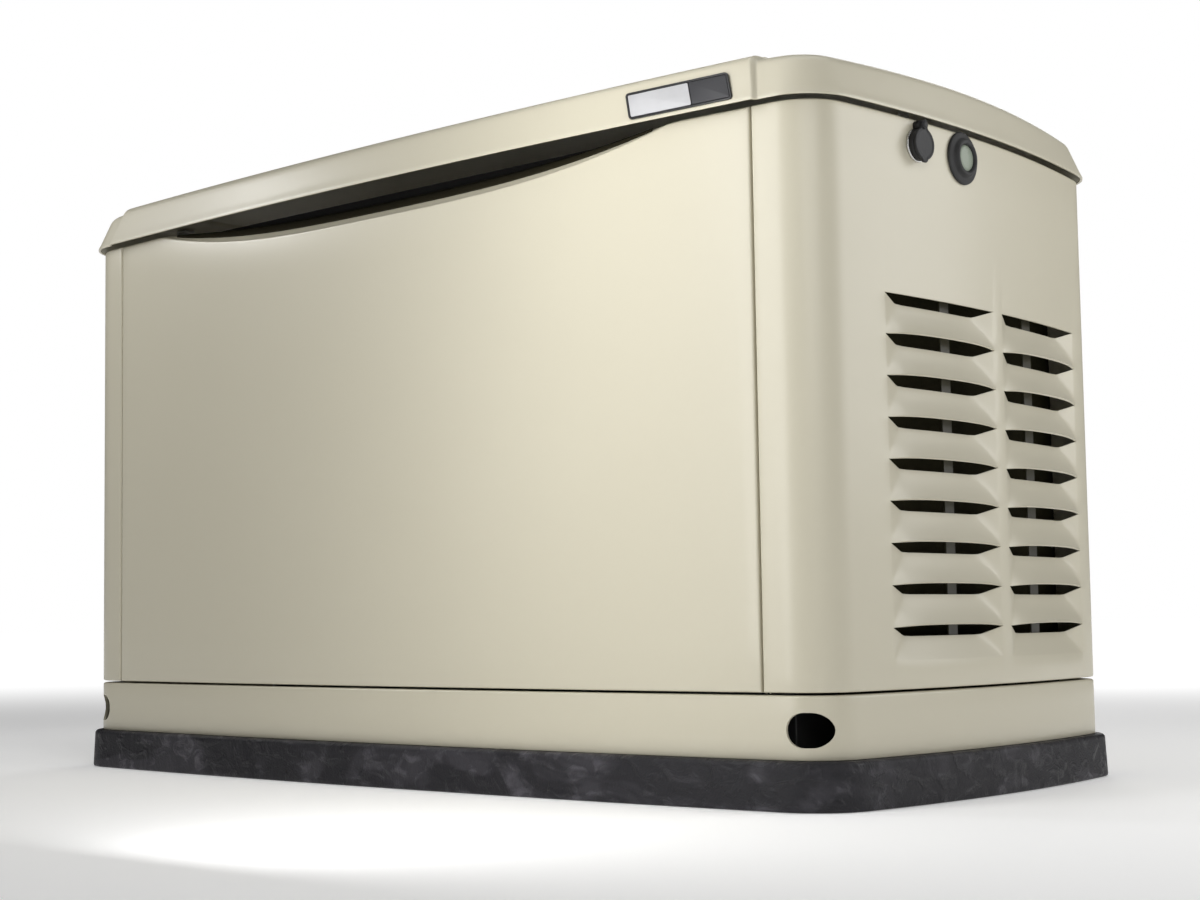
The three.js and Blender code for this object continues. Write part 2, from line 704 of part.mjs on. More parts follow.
function nameplate() {
  const steps = 6;
  const rows = Array.from({ length: steps + 1 }, (_, i) => {
    const x = PLATE_X[0] + (PLATE_X[1] - PLATE_SLANT - PLATE_X[0]) * i / steps;
    const corner = (z, out) => {
      const slid = x + PLATE_SLANT * (z - PLATE_Z[0]) / (PLATE_Z[1] - PLATE_Z[0]);
      const face = -sideFace(slid) - LID_OVERHANG - LID_STEP + (z - LID_LIP) * FLANGE_SLOPE;
      return [slid, face - out, z];
    };
    const seat = CLEARANCE + 0.4;
    return [corner(PLATE_Z[0], seat), corner(PLATE_Z[0], seat + PLATE_SHEET),
      corner(PLATE_Z[1], seat + PLATE_SHEET), corner(PLATE_Z[1], seat)];
  });
  return loft(rows);
}

piece('nameplate', nameplate(), blackPaint);

// ---------------------------------------------------------------- lid hinges

const HINGE_Y = DEPTH / 2 - KNUCKLE_RADIUS;
const HINGE_Z = PANEL_TOP;
const PIN_HOLE = HINGE_PIN_RADIUS + CLEARANCE + 0.05;

function hinge(side, name) {
  const axis = place(side * HINGE_X, HINGE_Y, HINGE_Z);
  const xs = [-30, -15, 0, 15, 30];
  const wallAt = (x) => sideFace(side * HINGE_X + x) - HINGE_Y;
  const leaf = loft(xs.map((x) => {
    const y = wallAt(x) + CLEARANCE;
    const low = -HINGE_LEAF_HEIGHT - KNUCKLE_RADIUS;
    return [[x, y, low], [x, y + HINGE_LEAF, low],
      [x, y + HINGE_LEAF, -KNUCKLE_RADIUS + 1], [x, y, -KNUCKLE_RADIUS + 1]];
  }));
  const bore = rod(PIN_HOLE, -HINGE_HALF * 2, HINGE_HALF * 2, 12);
  const near = Math.max(...xs.map(wallAt)) + CLEARANCE;
  const web = block([-KNUCKLE_HALF + 1, near, -9], [KNUCKLE_HALF - 1, 0, -3.5]);
  const knuckle = rod(KNUCKLE_RADIUS, -KNUCKLE_HALF, KNUCKLE_HALF, 14);
  piece(`hinge_base_leaf_${name}`, leaf.add(web).add(knuckle).subtract(bore), zincSteel, axis);

  const slope = LID_LEAN / (HEIGHT - LID_FALL - 12 - LID_LIP);
  const lipRise = LID_LIP - HINGE_Z;
  const lidAt = (x, z) => wallAt(x) + LID_REAR_OVERHANG - (z - lipRise) * slope;
  const upper = loft([-HINGE_HALF, -15, 0, 15, HINGE_HALF].map((x) => {
    const row = [[lipRise + 1, 0], [lipRise + 1, HINGE_LEAF],
      [lipRise + HINGE_LEAF_HEIGHT, HINGE_LEAF], [lipRise + HINGE_LEAF_HEIGHT, 0]];
    return row.map(([z, out]) => [x, lidAt(x, z) + CLEARANCE + 0.2 + out, z]);
  }));
  let moving = upper;
  for (const end of [-1, 1]) {
    const inner = KNUCKLE_HALF + CLEARANCE;
    const low = Math.min(end * inner, end * HINGE_HALF);
    const high = Math.max(end * inner, end * HINGE_HALF);
    const start = Math.max(lidAt(low, 4), lidAt(high, 4)) + CLEARANCE + 0.4;
    moving = moving.add(rod(KNUCKLE_RADIUS, low, high, 14));
    moving = moving.add(block([low, start, lipRise + 1], [high, 1, lipRise + 4]));
  }
  piece(`hinge_lid_leaf_${name}`, moving.subtract(bore), zincSteel, axis);

  const half = HINGE_HALF + 2;
  const head = HINGE_PIN_RADIUS + 1.5;
  piece(`hinge_pin_${name}`, turnedX([[0, -half - 2], [head, -half - 2], [head, -half],
    [HINGE_PIN_RADIUS, -half], [HINGE_PIN_RADIUS, half], [0, half]], 12), brightSteel, axis);
}

hinge(-1, 'left');
hinge(1, 'right');

// ---------------------------------------------------------------- locks

function lock(side, name) {
  const turn = side > 0 ? endTurn(LOCK_Y) : Math.PI - endTurn(LOCK_Y);
  const spot = place(side * endFace(LOCK_Y), LOCK_Y, LOCK_Z, turn);
  const nut = -SHEET - 3 * CLEARANCE;
  const body = turnedX([
    [LOCK_PLUG_RADIUS + CLEARANCE + 0.1, -LOCK_REACH], [LOCK_BARREL_RADIUS, -LOCK_REACH],
    [LOCK_BARREL_RADIUS, nut - 6], [LOCK_BARREL_RADIUS + 5, nut - 6], [LOCK_BARREL_RADIUS + 5, nut],
    [LOCK_BARREL_RADIUS, nut], [LOCK_BARREL_RADIUS, CLEARANCE], [LOCK_BODY_RADIUS, CLEARANCE],
    [LOCK_BODY_RADIUS, LOCK_PROUD - 1], [LOCK_BODY_RADIUS - 1, LOCK_PROUD],
    [LOCK_PLUG_RADIUS + CLEARANCE + 0.1, LOCK_PROUD],
    [LOCK_PLUG_RADIUS + CLEARANCE + 0.1, -LOCK_REACH],
  ]);
  const lift = (shape, z) => shape.translate([0, 0, z]);
  const ear = lift(rod(5, CLEARANCE, LOCK_PROUD, 16), COVER_PIVOT);
  const shank = LOCK_PROUD + COVER_SHEET + 2 * CLEARANCE + 0.2;
  const pin = lift(rod(RIVET_RADIUS, LOCK_PROUD - 1, shank + 0.5, 12), COVER_PIVOT);
  const head = lift(rod(3.6, shank, shank + 1, 12), COVER_PIVOT);
  piece(`lock_housing_${name}`, body.add(ear).add(pin).add(head), darkPlastic, spot);

  const plug = rod(LOCK_PLUG_RADIUS, -LOCK_REACH - 2, LOCK_PROUD - 2, 16);
  const arm = block([-LOCK_REACH - 0.4 - CAM_SHEET, -CAM_WIDTH / 2, -CAM_WIDTH / 2],
    [-LOCK_REACH - 0.4, CAM_WIDTH / 2, CAM_LENGTH]);
  const keyway = block([LOCK_PROUD - 5, -1, -4], [LOCK_PROUD, 1, 4]);
  piece(`lock_cam_${name}`, plug.add(arm).subtract(keyway), brightSteel, spot);

  const face = LOCK_PROUD + CLEARANCE + 0.1;
  const flap = rod(LOCK_BODY_RADIUS - 0.5, face, face + COVER_SHEET, 20)
    .add(block([face, -4, 0], [face + COVER_SHEET, 4, COVER_PIVOT]))
    .add(block([face, -5, -LOCK_BODY_RADIUS - 2], [face + COVER_SHEET, 5, 0]))
    .add(lift(rod(5.2, face, face + COVER_SHEET, 16), COVER_PIVOT))
    .subtract(lift(rod(RIVET_RADIUS + CLEARANCE + 0.1, 0, face + 9, 12), COVER_PIVOT));
  piece(`lock_dust_cover_${name}`, flap, darkPlastic, spot);

  const plane = -LOCK_REACH - CAM_SHEET - 6;
  const tabTop = -CAM_WIDTH / 2 - 0.5;
  const footX = side * endFace(LOCK_Y) + side * (plane - 6);
  const under = Math.min(roof(footX, LOCK_Y - 30, false), roof(footX, LOCK_Y + 30, false));
  const top = under - LID_SHEET - 1.4 - LOCK_Z;
  const strap = block([plane, 12, tabTop - 2.5], [plane + 2.5, 28, top]);
  const tab = block([plane, 12, tabTop - 2.5], [plane + 12, 28, tabTop]);
  const foot = block([plane - 16, 12, top - 2.5], [plane + 2.5, 28, top]);
  piece(`lid_striker_${name}`, strap.add(tab).add(foot), zincSteel, spot);
}

lock(1, 'right');
lock(-1, 'left');

// ---------------------------------------------------------------- status light

const light = place(endFace(LIGHT_Y), LIGHT_Y, LIGHT_Z, endTurn(LIGHT_Y));
const lensBore = LENS_RADIUS + CLEARANCE;
const neck = LENS_RADIUS + 1.6;
piece('status_light_bezel', turnedX([
  [lensBore, -8], [neck, -8], [neck, CLEARANCE], [LIGHT_RADIUS, CLEARANCE], [LIGHT_RADIUS, 3],
  [LIGHT_RADIUS - 2, 4.6], [LIGHT_RADIUS - 8, 5.2], [LIGHT_RADIUS - 8.5, LIGHT_PROUD - 1],
  [LIGHT_RADIUS - 9.5, LIGHT_PROUD], [lensBore, LIGHT_PROUD], [lensBore, -8],
]), rubber, light);
piece('status_light_lens', turnedX([
  [0, -10], [LENS_RADIUS, -10], [LENS_RADIUS, LIGHT_PROUD - 1.4], [LENS_RADIUS * 0.8, LIGHT_PROUD - 0.4],
  [0, LIGHT_PROUD],
], 24), lensGlass, light);

// ---------------------------------------------------------------- engine

// The battery stands against the front wall, and the crank axis is placed behind it.
const batteryFoot = FLOOR + CLEARANCE;
const [batteryLong, batteryWide, batteryHigh] = BATTERY;
const batteryFront = SKIRT_LEDGE + BATTERY_GAP - sideFace(BATTERY_X + batteryLong);
const batteryBack = batteryFront + batteryWide;
const CRANK_Y = batteryBack + STATOR_GAP + STATOR_RADIUS + STATOR_FLANGE;
const engine = place(0, CRANK_Y, CRANK_Z);
const CRANKCASE_FRONT = CRANKCASE_BACK + CRANKCASE_LENGTH;
const bearingBore = SHAFT_RADIUS + 2 * CLEARANCE;

// (y, z) of a point `up` the cylinder axis and `across` it, for the front (-1) or rear (1) bank.
const bank = (side, up, across) => [
  side * (up * Math.sin(V_HALF) + across * Math.cos(V_HALF)),
  up * Math.cos(V_HALF) - across * Math.sin(V_HALF),
];

const crankcaseOutline = [
  [-CRANKCASE_HALF, -CRANKCASE_DEPTH], [CRANKCASE_HALF, -CRANKCASE_DEPTH],
  bank(1, DECK, DECK_HALF), bank(1, DECK, -DECK_HALF),
  bank(-1, DECK, -DECK_HALF), bank(-1, DECK, DECK_HALF),
];
piece('crankcase', solid(prismX(crankcaseOutline, CRANKCASE_BACK, CRANKCASE_FRONT))
  .subtract(rod(bearingBore, CRANKCASE_BACK - 1, CRANKCASE_FRONT + 1)), castAluminium, engine);

const CRANKCASE_MIDDLE = (CRANKCASE_BACK + CRANKCASE_FRONT) / 2;
for (const [side, name] of [[-1, 'front'], [1, 'rear']]) {
  const head = new THREE.Group();
  head.position.set(CRANKCASE_MIDDLE + side * CYLINDER_STAGGER, 0, 0);
  head.rotation.x = -side * V_HALF;
  engine.add(head);
  const low = DECK + CLEARANCE;
  const high = low + CYLINDER_LENGTH;
  const half = CYLINDER_BORE_BLOCK / 2;
  let barrel = post(half, low, high, 16);
  const fin = FIN_WIDTH / 2;
  for (let i = 0; i < FIN_COUNT; i += 1) {
    const z = low + 12 + i * (CYLINDER_LENGTH - 34) / (FIN_COUNT - 1);
    barrel = barrel.add(block([-fin, -fin, z], [fin, fin, z + FIN_SHEET]));
  }
  barrel = barrel.add(block([-fin, -fin, high - 18], [fin, fin, high]));
  piece(`cylinder_${name}`, barrel, castAluminium, head);
  const cover = high + CLEARANCE;
  const wide = fin - 6;
  const square = (half, z) => [[-half, -half, z], [half, -half, z], [half, half, z], [-half, half, z]];
  piece(`rocker_cover_${name}`, loft([
    square(wide, cover), square(wide, cover + 6), square(wide - 6, cover + 6.5),
    square(wide - 9, cover + ROCKER_HEIGHT - 5), square(wide - 14, cover + ROCKER_HEIGHT),
  ]), blackPaint, head);
}

// Shaft, flywheel fan and alternator rotor turn together.
const FAN_RIGHT = CRANKCASE_BACK - 8;
const FAN_LEFT = FAN_RIGHT - FAN_WIDTH;
const STATOR_LEFT = CRANKCASE_FRONT + 12 + CLEARANCE;
const STATOR_RIGHT = STATOR_LEFT + STATOR_LENGTH;
const CARRIER_LEFT = STATOR_RIGHT + CLEARANCE;
const CARRIER_RIGHT = CARRIER_LEFT + CARRIER_WIDTH;

piece('crankshaft', turnedX([
  [0, FAN_LEFT - 8], [SHAFT_RADIUS - 6, FAN_LEFT - 8], [SHAFT_RADIUS - 6, FAN_RIGHT],
  [SHAFT_RADIUS, FAN_RIGHT + 2], [SHAFT_RADIUS, STATOR_RIGHT - 6],
  [BEARING_SHAFT, STATOR_RIGHT - 4], [BEARING_SHAFT, CARRIER_RIGHT + 4], [0, CARRIER_RIGHT + 4],
]), brightSteel, engine);

function flywheelFan() {
  const hub = SHAFT_RADIUS - 6 + CLEARANCE;
  let wheel = turnedX([
    [hub, FAN_LEFT], [34, FAN_LEFT], [36, FAN_RIGHT - 10], [FAN_RADIUS - 6, FAN_RIGHT - 6],
    [FAN_RADIUS, FAN_RIGHT - 5], [FAN_RADIUS, FAN_RIGHT - 1], [hub, FAN_RIGHT - 1], [hub, FAN_LEFT],
  ]);
  for (let i = 0; i < FAN_BLADES; i += 1) {
    const blade = new THREE.BoxGeometry(FAN_WIDTH - 4, 4, FAN_RADIUS - 50);
    blade.translate((FAN_LEFT + FAN_RIGHT) / 2 - 1, 0, (FAN_RADIUS + 38) / 2);
    blade.rotateX(2 * Math.PI * i / FAN_BLADES);
    wheel = wheel.add(solid(blade));
  }
  return wheel;
}

piece('flywheel_fan', flywheelFan(), castAluminium, engine);

const blowerRadius = FAN_RADIUS + 6;
piece('blower_housing', turnedX([
  [BLOWER_INLET, FAN_LEFT - 16], [blowerRadius + BLOWER_WALL, FAN_LEFT - 16],
  [blowerRadius + BLOWER_WALL, CRANKCASE_BACK - CLEARANCE], [FAN_RADIUS - 14, CRANKCASE_BACK - CLEARANCE],
  [FAN_RADIUS - 14, CRANKCASE_BACK - 4], [blowerRadius, CRANKCASE_BACK - 4],
  [blowerRadius, FAN_LEFT - 12], [BLOWER_INLET, FAN_LEFT - 12], [BLOWER_INLET, FAN_LEFT - 16],
]), blackPaint, engine);

piece('alternator_stator', turnedX([
  [STATOR_BORE, CRANKCASE_FRONT + CLEARANCE],
  [STATOR_RADIUS + STATOR_FLANGE, CRANKCASE_FRONT + CLEARANCE],
  [STATOR_RADIUS + STATOR_FLANGE, STATOR_LEFT], [STATOR_RADIUS - 6, STATOR_LEFT + 2],
  [STATOR_RADIUS - 6, STATOR_LEFT + 24], [STATOR_RADIUS, STATOR_LEFT + 26],
  [STATOR_RADIUS, STATOR_RIGHT - 26], [STATOR_RADIUS - 6, STATOR_RIGHT - 24],
  [STATOR_RADIUS - 6, STATOR_RIGHT], [STATOR_BORE, STATOR_RIGHT],
  [STATOR_BORE, CRANKCASE_FRONT + CLEARANCE],
]), hotSteel, engine);

piece('alternator_rotor', ringX(SHAFT_RADIUS + CLEARANCE, STATOR_BORE - AIR_GAP,
  STATOR_LEFT + 8, STATOR_RIGHT - 14), copperRed, engine);

const bearingHole = BEARING_RADIUS + CLEARANCE;
piece('bearing_carrier', turnedX([
  [bearingHole, CARRIER_LEFT + 4], [BEARING_RADIUS + 10, CARRIER_LEFT + 4],
  [STATOR_RADIUS - 12, CARRIER_LEFT],
  [STATOR_RADIUS, CARRIER_LEFT], [STATOR_RADIUS, CARRIER_LEFT + 10], [BEARING_RADIUS + 12, CARRIER_RIGHT - 4],
  [BEARING_RADIUS + 8, CARRIER_RIGHT], [bearingHole, CARRIER_RIGHT], [bearingHole, CARRIER_LEFT + 4],
]), castAluminium, engine);
piece('rotor_bearing', ringX(BEARING_SHAFT + 0.4, BEARING_RADIUS, CARRIER_LEFT + 5, CARRIER_RIGHT - 1),
  brightSteel, engine);

// Cradle: two rails and two crossbars on feet that stand on the floor of the base frame.
function cradle() {
  const top = CRANK_Z - CRANKCASE_DEPTH - CLEARANCE;
  const rail = 38;
  const reach = 60 - rail / 2;
  const under = CRANK_Z - Math.sqrt((STATOR_RADIUS + STATOR_FLANGE) ** 2 - reach ** 2);
  const railTop = Math.min(top, under) - 8;
  const left = CRANKCASE_BACK + 10;
  const right = STATOR_RIGHT - 20;
  let frame = null;
  for (const side of [-1, 1]) {
    const y = CRANK_Y + side * 60;
    const bar = block([left, y - rail / 2, railTop - 28], [right, y + rail / 2, railTop]);
    const pad = block([left + 20, y - rail / 2, railTop - 1], [CRANKCASE_FRONT - 20, y + rail / 2, top]);
    frame = frame ? frame.add(bar).add(pad) : bar.add(pad);
    for (const x of [left + 22, right - 22]) {
      frame = frame.add(block([x - 20, y - rail / 2, FLOOR + CLEARANCE],
        [x + 20, y + rail / 2, railTop - 22]));
    }
  }
  for (const x of [left + 22, CRANKCASE_FRONT + 20, right - 22]) {
    frame = frame.add(block([x - 16, CRANK_Y - 60, railTop - 28], [x + 16, CRANK_Y + 60, railTop - 12]));
  }
  return frame;
}

piece('engine_cradle', cradle(), blackPaint);

// Intake: a mixer between the banks with a runner down to each cylinder head.
const MIXER_LOW = 150;
const MIXER_TOP = 210;
function intakeManifold() {
  let made = post(24, MIXER_LOW - 8, MIXER_TOP, 20);
  for (const side of [-1, 1]) {
    const [y, z] = bank(side, DECK + CYLINDER_LENGTH - 8, -FIN_WIDTH / 2);
    const x = side * CYLINDER_STAGGER;
    made = made.add(pipe([[0, 0, MIXER_LOW + 6], [x / 2, y * 0.55, MIXER_LOW + 8], [x, y - side, z + 1]],
      14, 6, 12));
  }
  return made.subtract(intakeClear());
}

// The runners stop short of the heads' inner faces.
function intakeClear() {
  const makers = [-1, 1].map((side) => {
    const head = new THREE.BoxGeometry(FIN_WIDTH, FIN_WIDTH + 2 * CLEARANCE, CYLINDER_LENGTH);
    head.translate(side * CYLINDER_STAGGER, 0, DECK + CYLINDER_LENGTH / 2 + CLEARANCE);
    head.rotateX(-side * V_HALF);
    return solid(head);
  });
  return makers[0].add(makers[1]);
}

const top = new THREE.Group();
top.position.set(CRANKCASE_MIDDLE, 0, 0);
engine.add(top);
piece('intake_manifold', intakeManifold(), castAluminium, top);

const AIR_BOX = [95, 105];
const AIR_LOW = MIXER_TOP + CLEARANCE;
const AIR_HIGH = AIR_LOW + 70;
const boxWall = 3;
const [airX, airY] = AIR_BOX;
piece('air_box', block([-airX, -airY, AIR_LOW], [airX, airY, AIR_HIGH])
  .subtract(block([-airX + boxWall, -airY + boxWall, AIR_LOW + boxWall],
    [airX - boxWall, airY - boxWall, AIR_HIGH + 1]))
  .subtract(post(20, AIR_LOW - 1, AIR_LOW + boxWall + 1, 20)), darkPlastic, top);
piece('air_filter', block([-airX + 12, -airY + 12, AIR_LOW + 14], [airX - 12, airY - 12, AIR_HIGH - 6]),
  filterPaper, top);
const lidRect = (dx, z) => [[-airX - 4 + dx, -airY - 4 + dx, z], [airX + 4 - dx, -airY - 4 + dx, z],
  [airX + 4 - dx, airY + 4 - dx, z], [-airX - 4 + dx, airY + 4 - dx, z]];
piece('air_box_cover', loft([
  lidRect(0, AIR_HIGH + CLEARANCE), lidRect(0, AIR_HIGH + 8),
  lidRect(5, AIR_HIGH + 18), lidRect(14, AIR_HIGH + 24),
]), darkPlastic, top);

// Oil filter on the front of the crankcase, starter along its rear foot.
function across(shape, x, y, z) {
  const made = surface(shape);
  made.rotateX(Math.PI / 2);
  made.translate(x, y, z);
  return solid(made);
}

piece('oil_filter', across(turnedZ([
  [0, CLEARANCE], [26, CLEARANCE], [26, 8], [37, 12], [38, 16], [38, 68], [34, 74], [0, 74],
], 24), 0, -CRANKCASE_HALF, -50), greyPlastic, engine);
piece('starter_motor', turnedX([
  [0, CRANKCASE_BACK + 30], [20, CRANKCASE_BACK + 30], [20, CRANKCASE_BACK + 44], [36, CRANKCASE_BACK + 46],
  [36, CRANKCASE_BACK + 190], [30, CRANKCASE_BACK + 196], [0, CRANKCASE_BACK + 196],
], 24).translate([0, CRANKCASE_HALF + 42, -78]), blackPaint, engine);

// Dipstick tube: a bend out of the crankcase, then a straight stretch that holds the blade.
const DIP_X = 136;
const DIP_Y = -CRANKCASE_HALF - 58;
const DIP_TOP = 225;
piece('dipstick_tube', pipe([
  [DIP_X, -CRANKCASE_HALF - CLEARANCE, -40], [DIP_X, -CRANKCASE_HALF - 20, -40], [DIP_X, DIP_Y + 8, -10],
  [DIP_X, DIP_Y, 30], [DIP_X, DIP_Y, 90], [DIP_X, DIP_Y, 150], [DIP_X, DIP_Y, DIP_TOP],
], 9, 14, 8, 6.5), blackPaint, engine);
piece('dipstick', post(2.5, 42, DIP_TOP + 4, 8)
  .add(post(11, DIP_TOP + CLEARANCE, DIP_TOP + 12, 20))
  .add(block([-3, -16, DIP_TOP + 11], [3, 16, DIP_TOP + 30])
    .subtract(across(post(8, -9, 9, 12), 0, 0, 0)
      .rotate([0, 0, 90]).translate([0, 0, DIP_TOP + 20])))
  .translate([DIP_X, DIP_Y, 0]), finish(0xd8b21c, 0.5, 0), engine);

// ---------------------------------------------------------------- exhaust

const PIPE_Y = 140;
function exhaustManifold() {
  const collector = DIVIDER_X - 45;
  let made = null;
  for (const side of [-1, 1]) {
    const start = CRANKCASE_MIDDLE + side * CYLINDER_STAGGER - FIN_WIDTH / 2 - CLEARANCE;
    const [headY, headZ] = bank(side, DECK + CYLINDER_LENGTH - 9, 12);
    const leg = pipe([
      [start, CRANK_Y + headY, CRANK_Z + headZ], [start - 40, CRANK_Y + headY, CRANK_Z + headZ],
      [DIVIDER_X + 30, CRANK_Y + side * PIPE_Y, PIPE_Z], [collector, CRANK_Y + side * PIPE_Y, PIPE_Z]],
    PIPE_RADIUS, 8, 12);
    made = made ? made.add(leg) : leg;
  }
  const bar = across(post(PIPE_RADIUS + 4, -PIPE_Y - 14, PIPE_Y + 14, 20), collector, CRANK_Y, PIPE_Z);
  const reach = Math.sqrt(MUFFLER_RADIUS ** 2 - (PIPE_Z - MUFFLER_Z) ** 2);
  const stub = rod(PIPE_RADIUS, MUFFLER_X + reach - 8, collector, 20).translate([0, CRANK_Y, PIPE_Z]);
  const drum = across(post(MUFFLER_RADIUS + CLEARANCE + 0.4, -MUFFLER_HALF, MUFFLER_HALF, 24),
    MUFFLER_X, CRANK_Y, MUFFLER_Z);
  return made.add(bar).add(stub.subtract(drum));
}

piece('exhaust_manifold', exhaustManifold(), hotSteel);
piece('muffler', across(turnedZ([
  [0, -MUFFLER_HALF], [MUFFLER_RADIUS - 26, -MUFFLER_HALF], [MUFFLER_RADIUS - 6, -MUFFLER_HALF + 12],
  [MUFFLER_RADIUS, -MUFFLER_HALF + 14], [MUFFLER_RADIUS, MUFFLER_HALF - 14],
  [MUFFLER_RADIUS - 6, MUFFLER_HALF - 12], [MUFFLER_RADIUS - 26, MUFFLER_HALF], [0, MUFFLER_HALF],
], 24), MUFFLER_X, CRANK_Y, MUFFLER_Z)
  .add(rod(22, MUFFLER_X - MUFFLER_RADIUS - 45, MUFFLER_X - 60, 20)
    .translate([0, CRANK_Y + 90, MUFFLER_Z - 20]))
  .subtract(rod(19, MUFFLER_X - MUFFLER_RADIUS - 46, MUFFLER_X - MUFFLER_RADIUS, 20)
    .translate([0, CRANK_Y + 90, MUFFLER_Z - 20])), hotSteel);

// Wall between the engine bay and the hot end, let round both pipes and open for the fan's air.
function divider() {
  const half = sideFace(DIVIDER_X) - SKIRT_LEDGE - 1;
  const low = FLOOR + CLEARANCE;
  const hole = (y, z, radius) => arc(y, z, radius, 0, 2 * Math.PI, 24).slice(1);
  const [wide, tall] = AIR_WINDOW;
  const middle = CRANK_Z - 40;
  const window = [[CRANK_Y - wide, middle - tall / 2], [CRANK_Y + wide, middle - tall / 2],
    [CRANK_Y + wide, middle + tall / 2], [CRANK_Y - wide, middle + tall / 2]];
  const high = RAIL_BOTTOM - SHADOW_GAP;
  const plate = prismX([[-half, low], [half, low], [half, high], [-half, high]],
    DIVIDER_X, DIVIDER_X + SHEET,
    [hole(CRANK_Y - PIPE_Y, PIPE_Z, PIPE_RADIUS + 5),
      hole(CRANK_Y + PIPE_Y, PIPE_Z, PIPE_RADIUS + 5), window]);
  return solid(plate);
}

piece('exhaust_divider', divider(), zincSteel);

// ---------------------------------------------------------------- fuel

const REGULATOR = [[400, 150, 300], [500, 230, 390]];
const fuelWall = sideFace(FUEL_X);
piece('fuel_inlet_pipe', pipe([
  [FUEL_X, fuelWall + 18, FUEL_Z], [FUEL_X, fuelWall - 30, FUEL_Z], [FUEL_X, fuelWall - 62, FUEL_Z + 8],
  [FUEL_X, 195, FUEL_Z + 50], [FUEL_X, 190, 240], [FUEL_X, 190, REGULATOR[0][2] - CLEARANCE],
], FUEL_RADIUS, 14, 12), finish(0x2a2a2a, 0.6, 0.4));
piece('fuel_regulator', block(...REGULATOR)
  .add(post(32, REGULATOR[1][2] - 1, REGULATOR[1][2] + 22, 24).translate([450, 190, 0])), castAluminium);
const mixer = [CRANKCASE_MIDDLE, CRANK_Y, CRANK_Z + MIXER_TOP - 18];
piece('fuel_hose', pipe([
  [REGULATOR[0][0] - CLEARANCE, 190, 360], [340, 190, 360], [250, mixer[1] + 166, 400],
  [175, mixer[1] + 130, 420], [120, mixer[1] + 60, mixer[2]], [mixer[0] + 17, mixer[1] + 18, mixer[2]],
], 9, 20, 8), rubber);

// ---------------------------------------------------------------- battery and controls

let battery = block([BATTERY_X, batteryFront, batteryFoot],
  [BATTERY_X + batteryLong, batteryBack, batteryFoot + batteryHigh - 22]);
battery = battery.add(block([BATTERY_X + 4, batteryFront + 4, batteryFoot + batteryHigh - 23],
  [BATTERY_X + batteryLong - 4, batteryBack - 4, batteryFoot + batteryHigh - 12]));
for (const x of [BATTERY_X + 30, BATTERY_X + batteryLong - 30]) {
  battery = battery.add(post(9, batteryFoot + batteryHigh - 13, batteryFoot + batteryHigh, 16)
    .translate([x, batteryFront + 28, 0]));
}
piece('battery', battery, darkPlastic);

const [controlLong, controlDeep, controlHigh] = CONTROL_SIZE;
piece('control_box', block([CONTROL_X, CONTROL_FRONT, CONTROL_Z],
  [CONTROL_X + controlLong, CONTROL_FRONT + controlDeep, CONTROL_Z + controlHigh]), zincSteel);

// Everything on the control box's front is placed from its lower left corner, facing -Y.
const FACE_SHEET = 8;
const face = place(CONTROL_X, CONTROL_FRONT - CLEARANCE, CONTROL_Z);
const buttonX = (i) => 64 + (i - 1) * BUTTON_PITCH;
const BUTTON_Z = 70;
const faceward = (shape, x, z) => {
  const made = surface(shape);
  made.rotateX(Math.PI / 2);
  made.translate(x, 0, z);
  return solid(made);
};
let bezel = block([10, -FACE_SHEET, 45], [118, 0, 175]);
bezel = bezel.subtract(block([24, -FACE_SHEET - 1, 105], [104, -FACE_SHEET + 2, 160]));
for (const i of [0, 1, 2]) {
  bezel = bezel.subtract(faceward(post(BUTTON_RADIUS + 0.5, 2, FACE_SHEET + 1, 24), buttonX(i), BUTTON_Z));
}
piece('controller', bezel, greyPlastic, face);
const caps = [['auto_button', green], ['off_button', red], ['manual_button', blue]];
caps.forEach(([name, material], i) => {
  const cap = post(BUTTON_RADIUS, 2 + BUTTON_TRAVEL + CLEARANCE, FACE_SHEET + 2.5, 24);
  piece(name, faceward(cap, buttonX(i), BUTTON_Z), material, face);
});

const BREAKER = [[136, 60], [196, 170]];
const [breakerLow, breakerHigh] = BREAKER;
const toggleX = (breakerLow[0] + breakerHigh[0]) / 2;
const toggleZ = (breakerLow[1] + breakerHigh[1]) / 2;
const TOGGLE_RADIUS = 12;
const TOGGLE_AXIS = -6;
const BREAKER_SHEET = 14;
piece('main_breaker', block([breakerLow[0], -BREAKER_SHEET, breakerLow[1]],
  [breakerHigh[0], 0, breakerHigh[1]])
  .subtract(block([toggleX - TOGGLE_RADIUS - 0.6, -BREAKER_SHEET - 1, toggleZ - 20],
    [toggleX + TOGGLE_RADIUS + 0.6, -2, toggleZ + 20])),
darkPlastic, face);
piece('breaker_toggle', faceward(post(TOGGLE_RADIUS - 8, -TOGGLE_RADIUS, TOGGLE_RADIUS, 20), 0, 0)
  .rotate([0, 0, 90])
  .add(block([-TOGGLE_RADIUS, -TOGGLE_RADIUS - 6, -3], [TOGGLE_RADIUS, 0, 3]).rotate([-30, 0, 0]))
  .translate([toggleX, TOGGLE_AXIS, toggleZ]), white, face);

export default group;
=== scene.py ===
import math

import bmesh
import bpy
from mathutils import Matrix, Vector


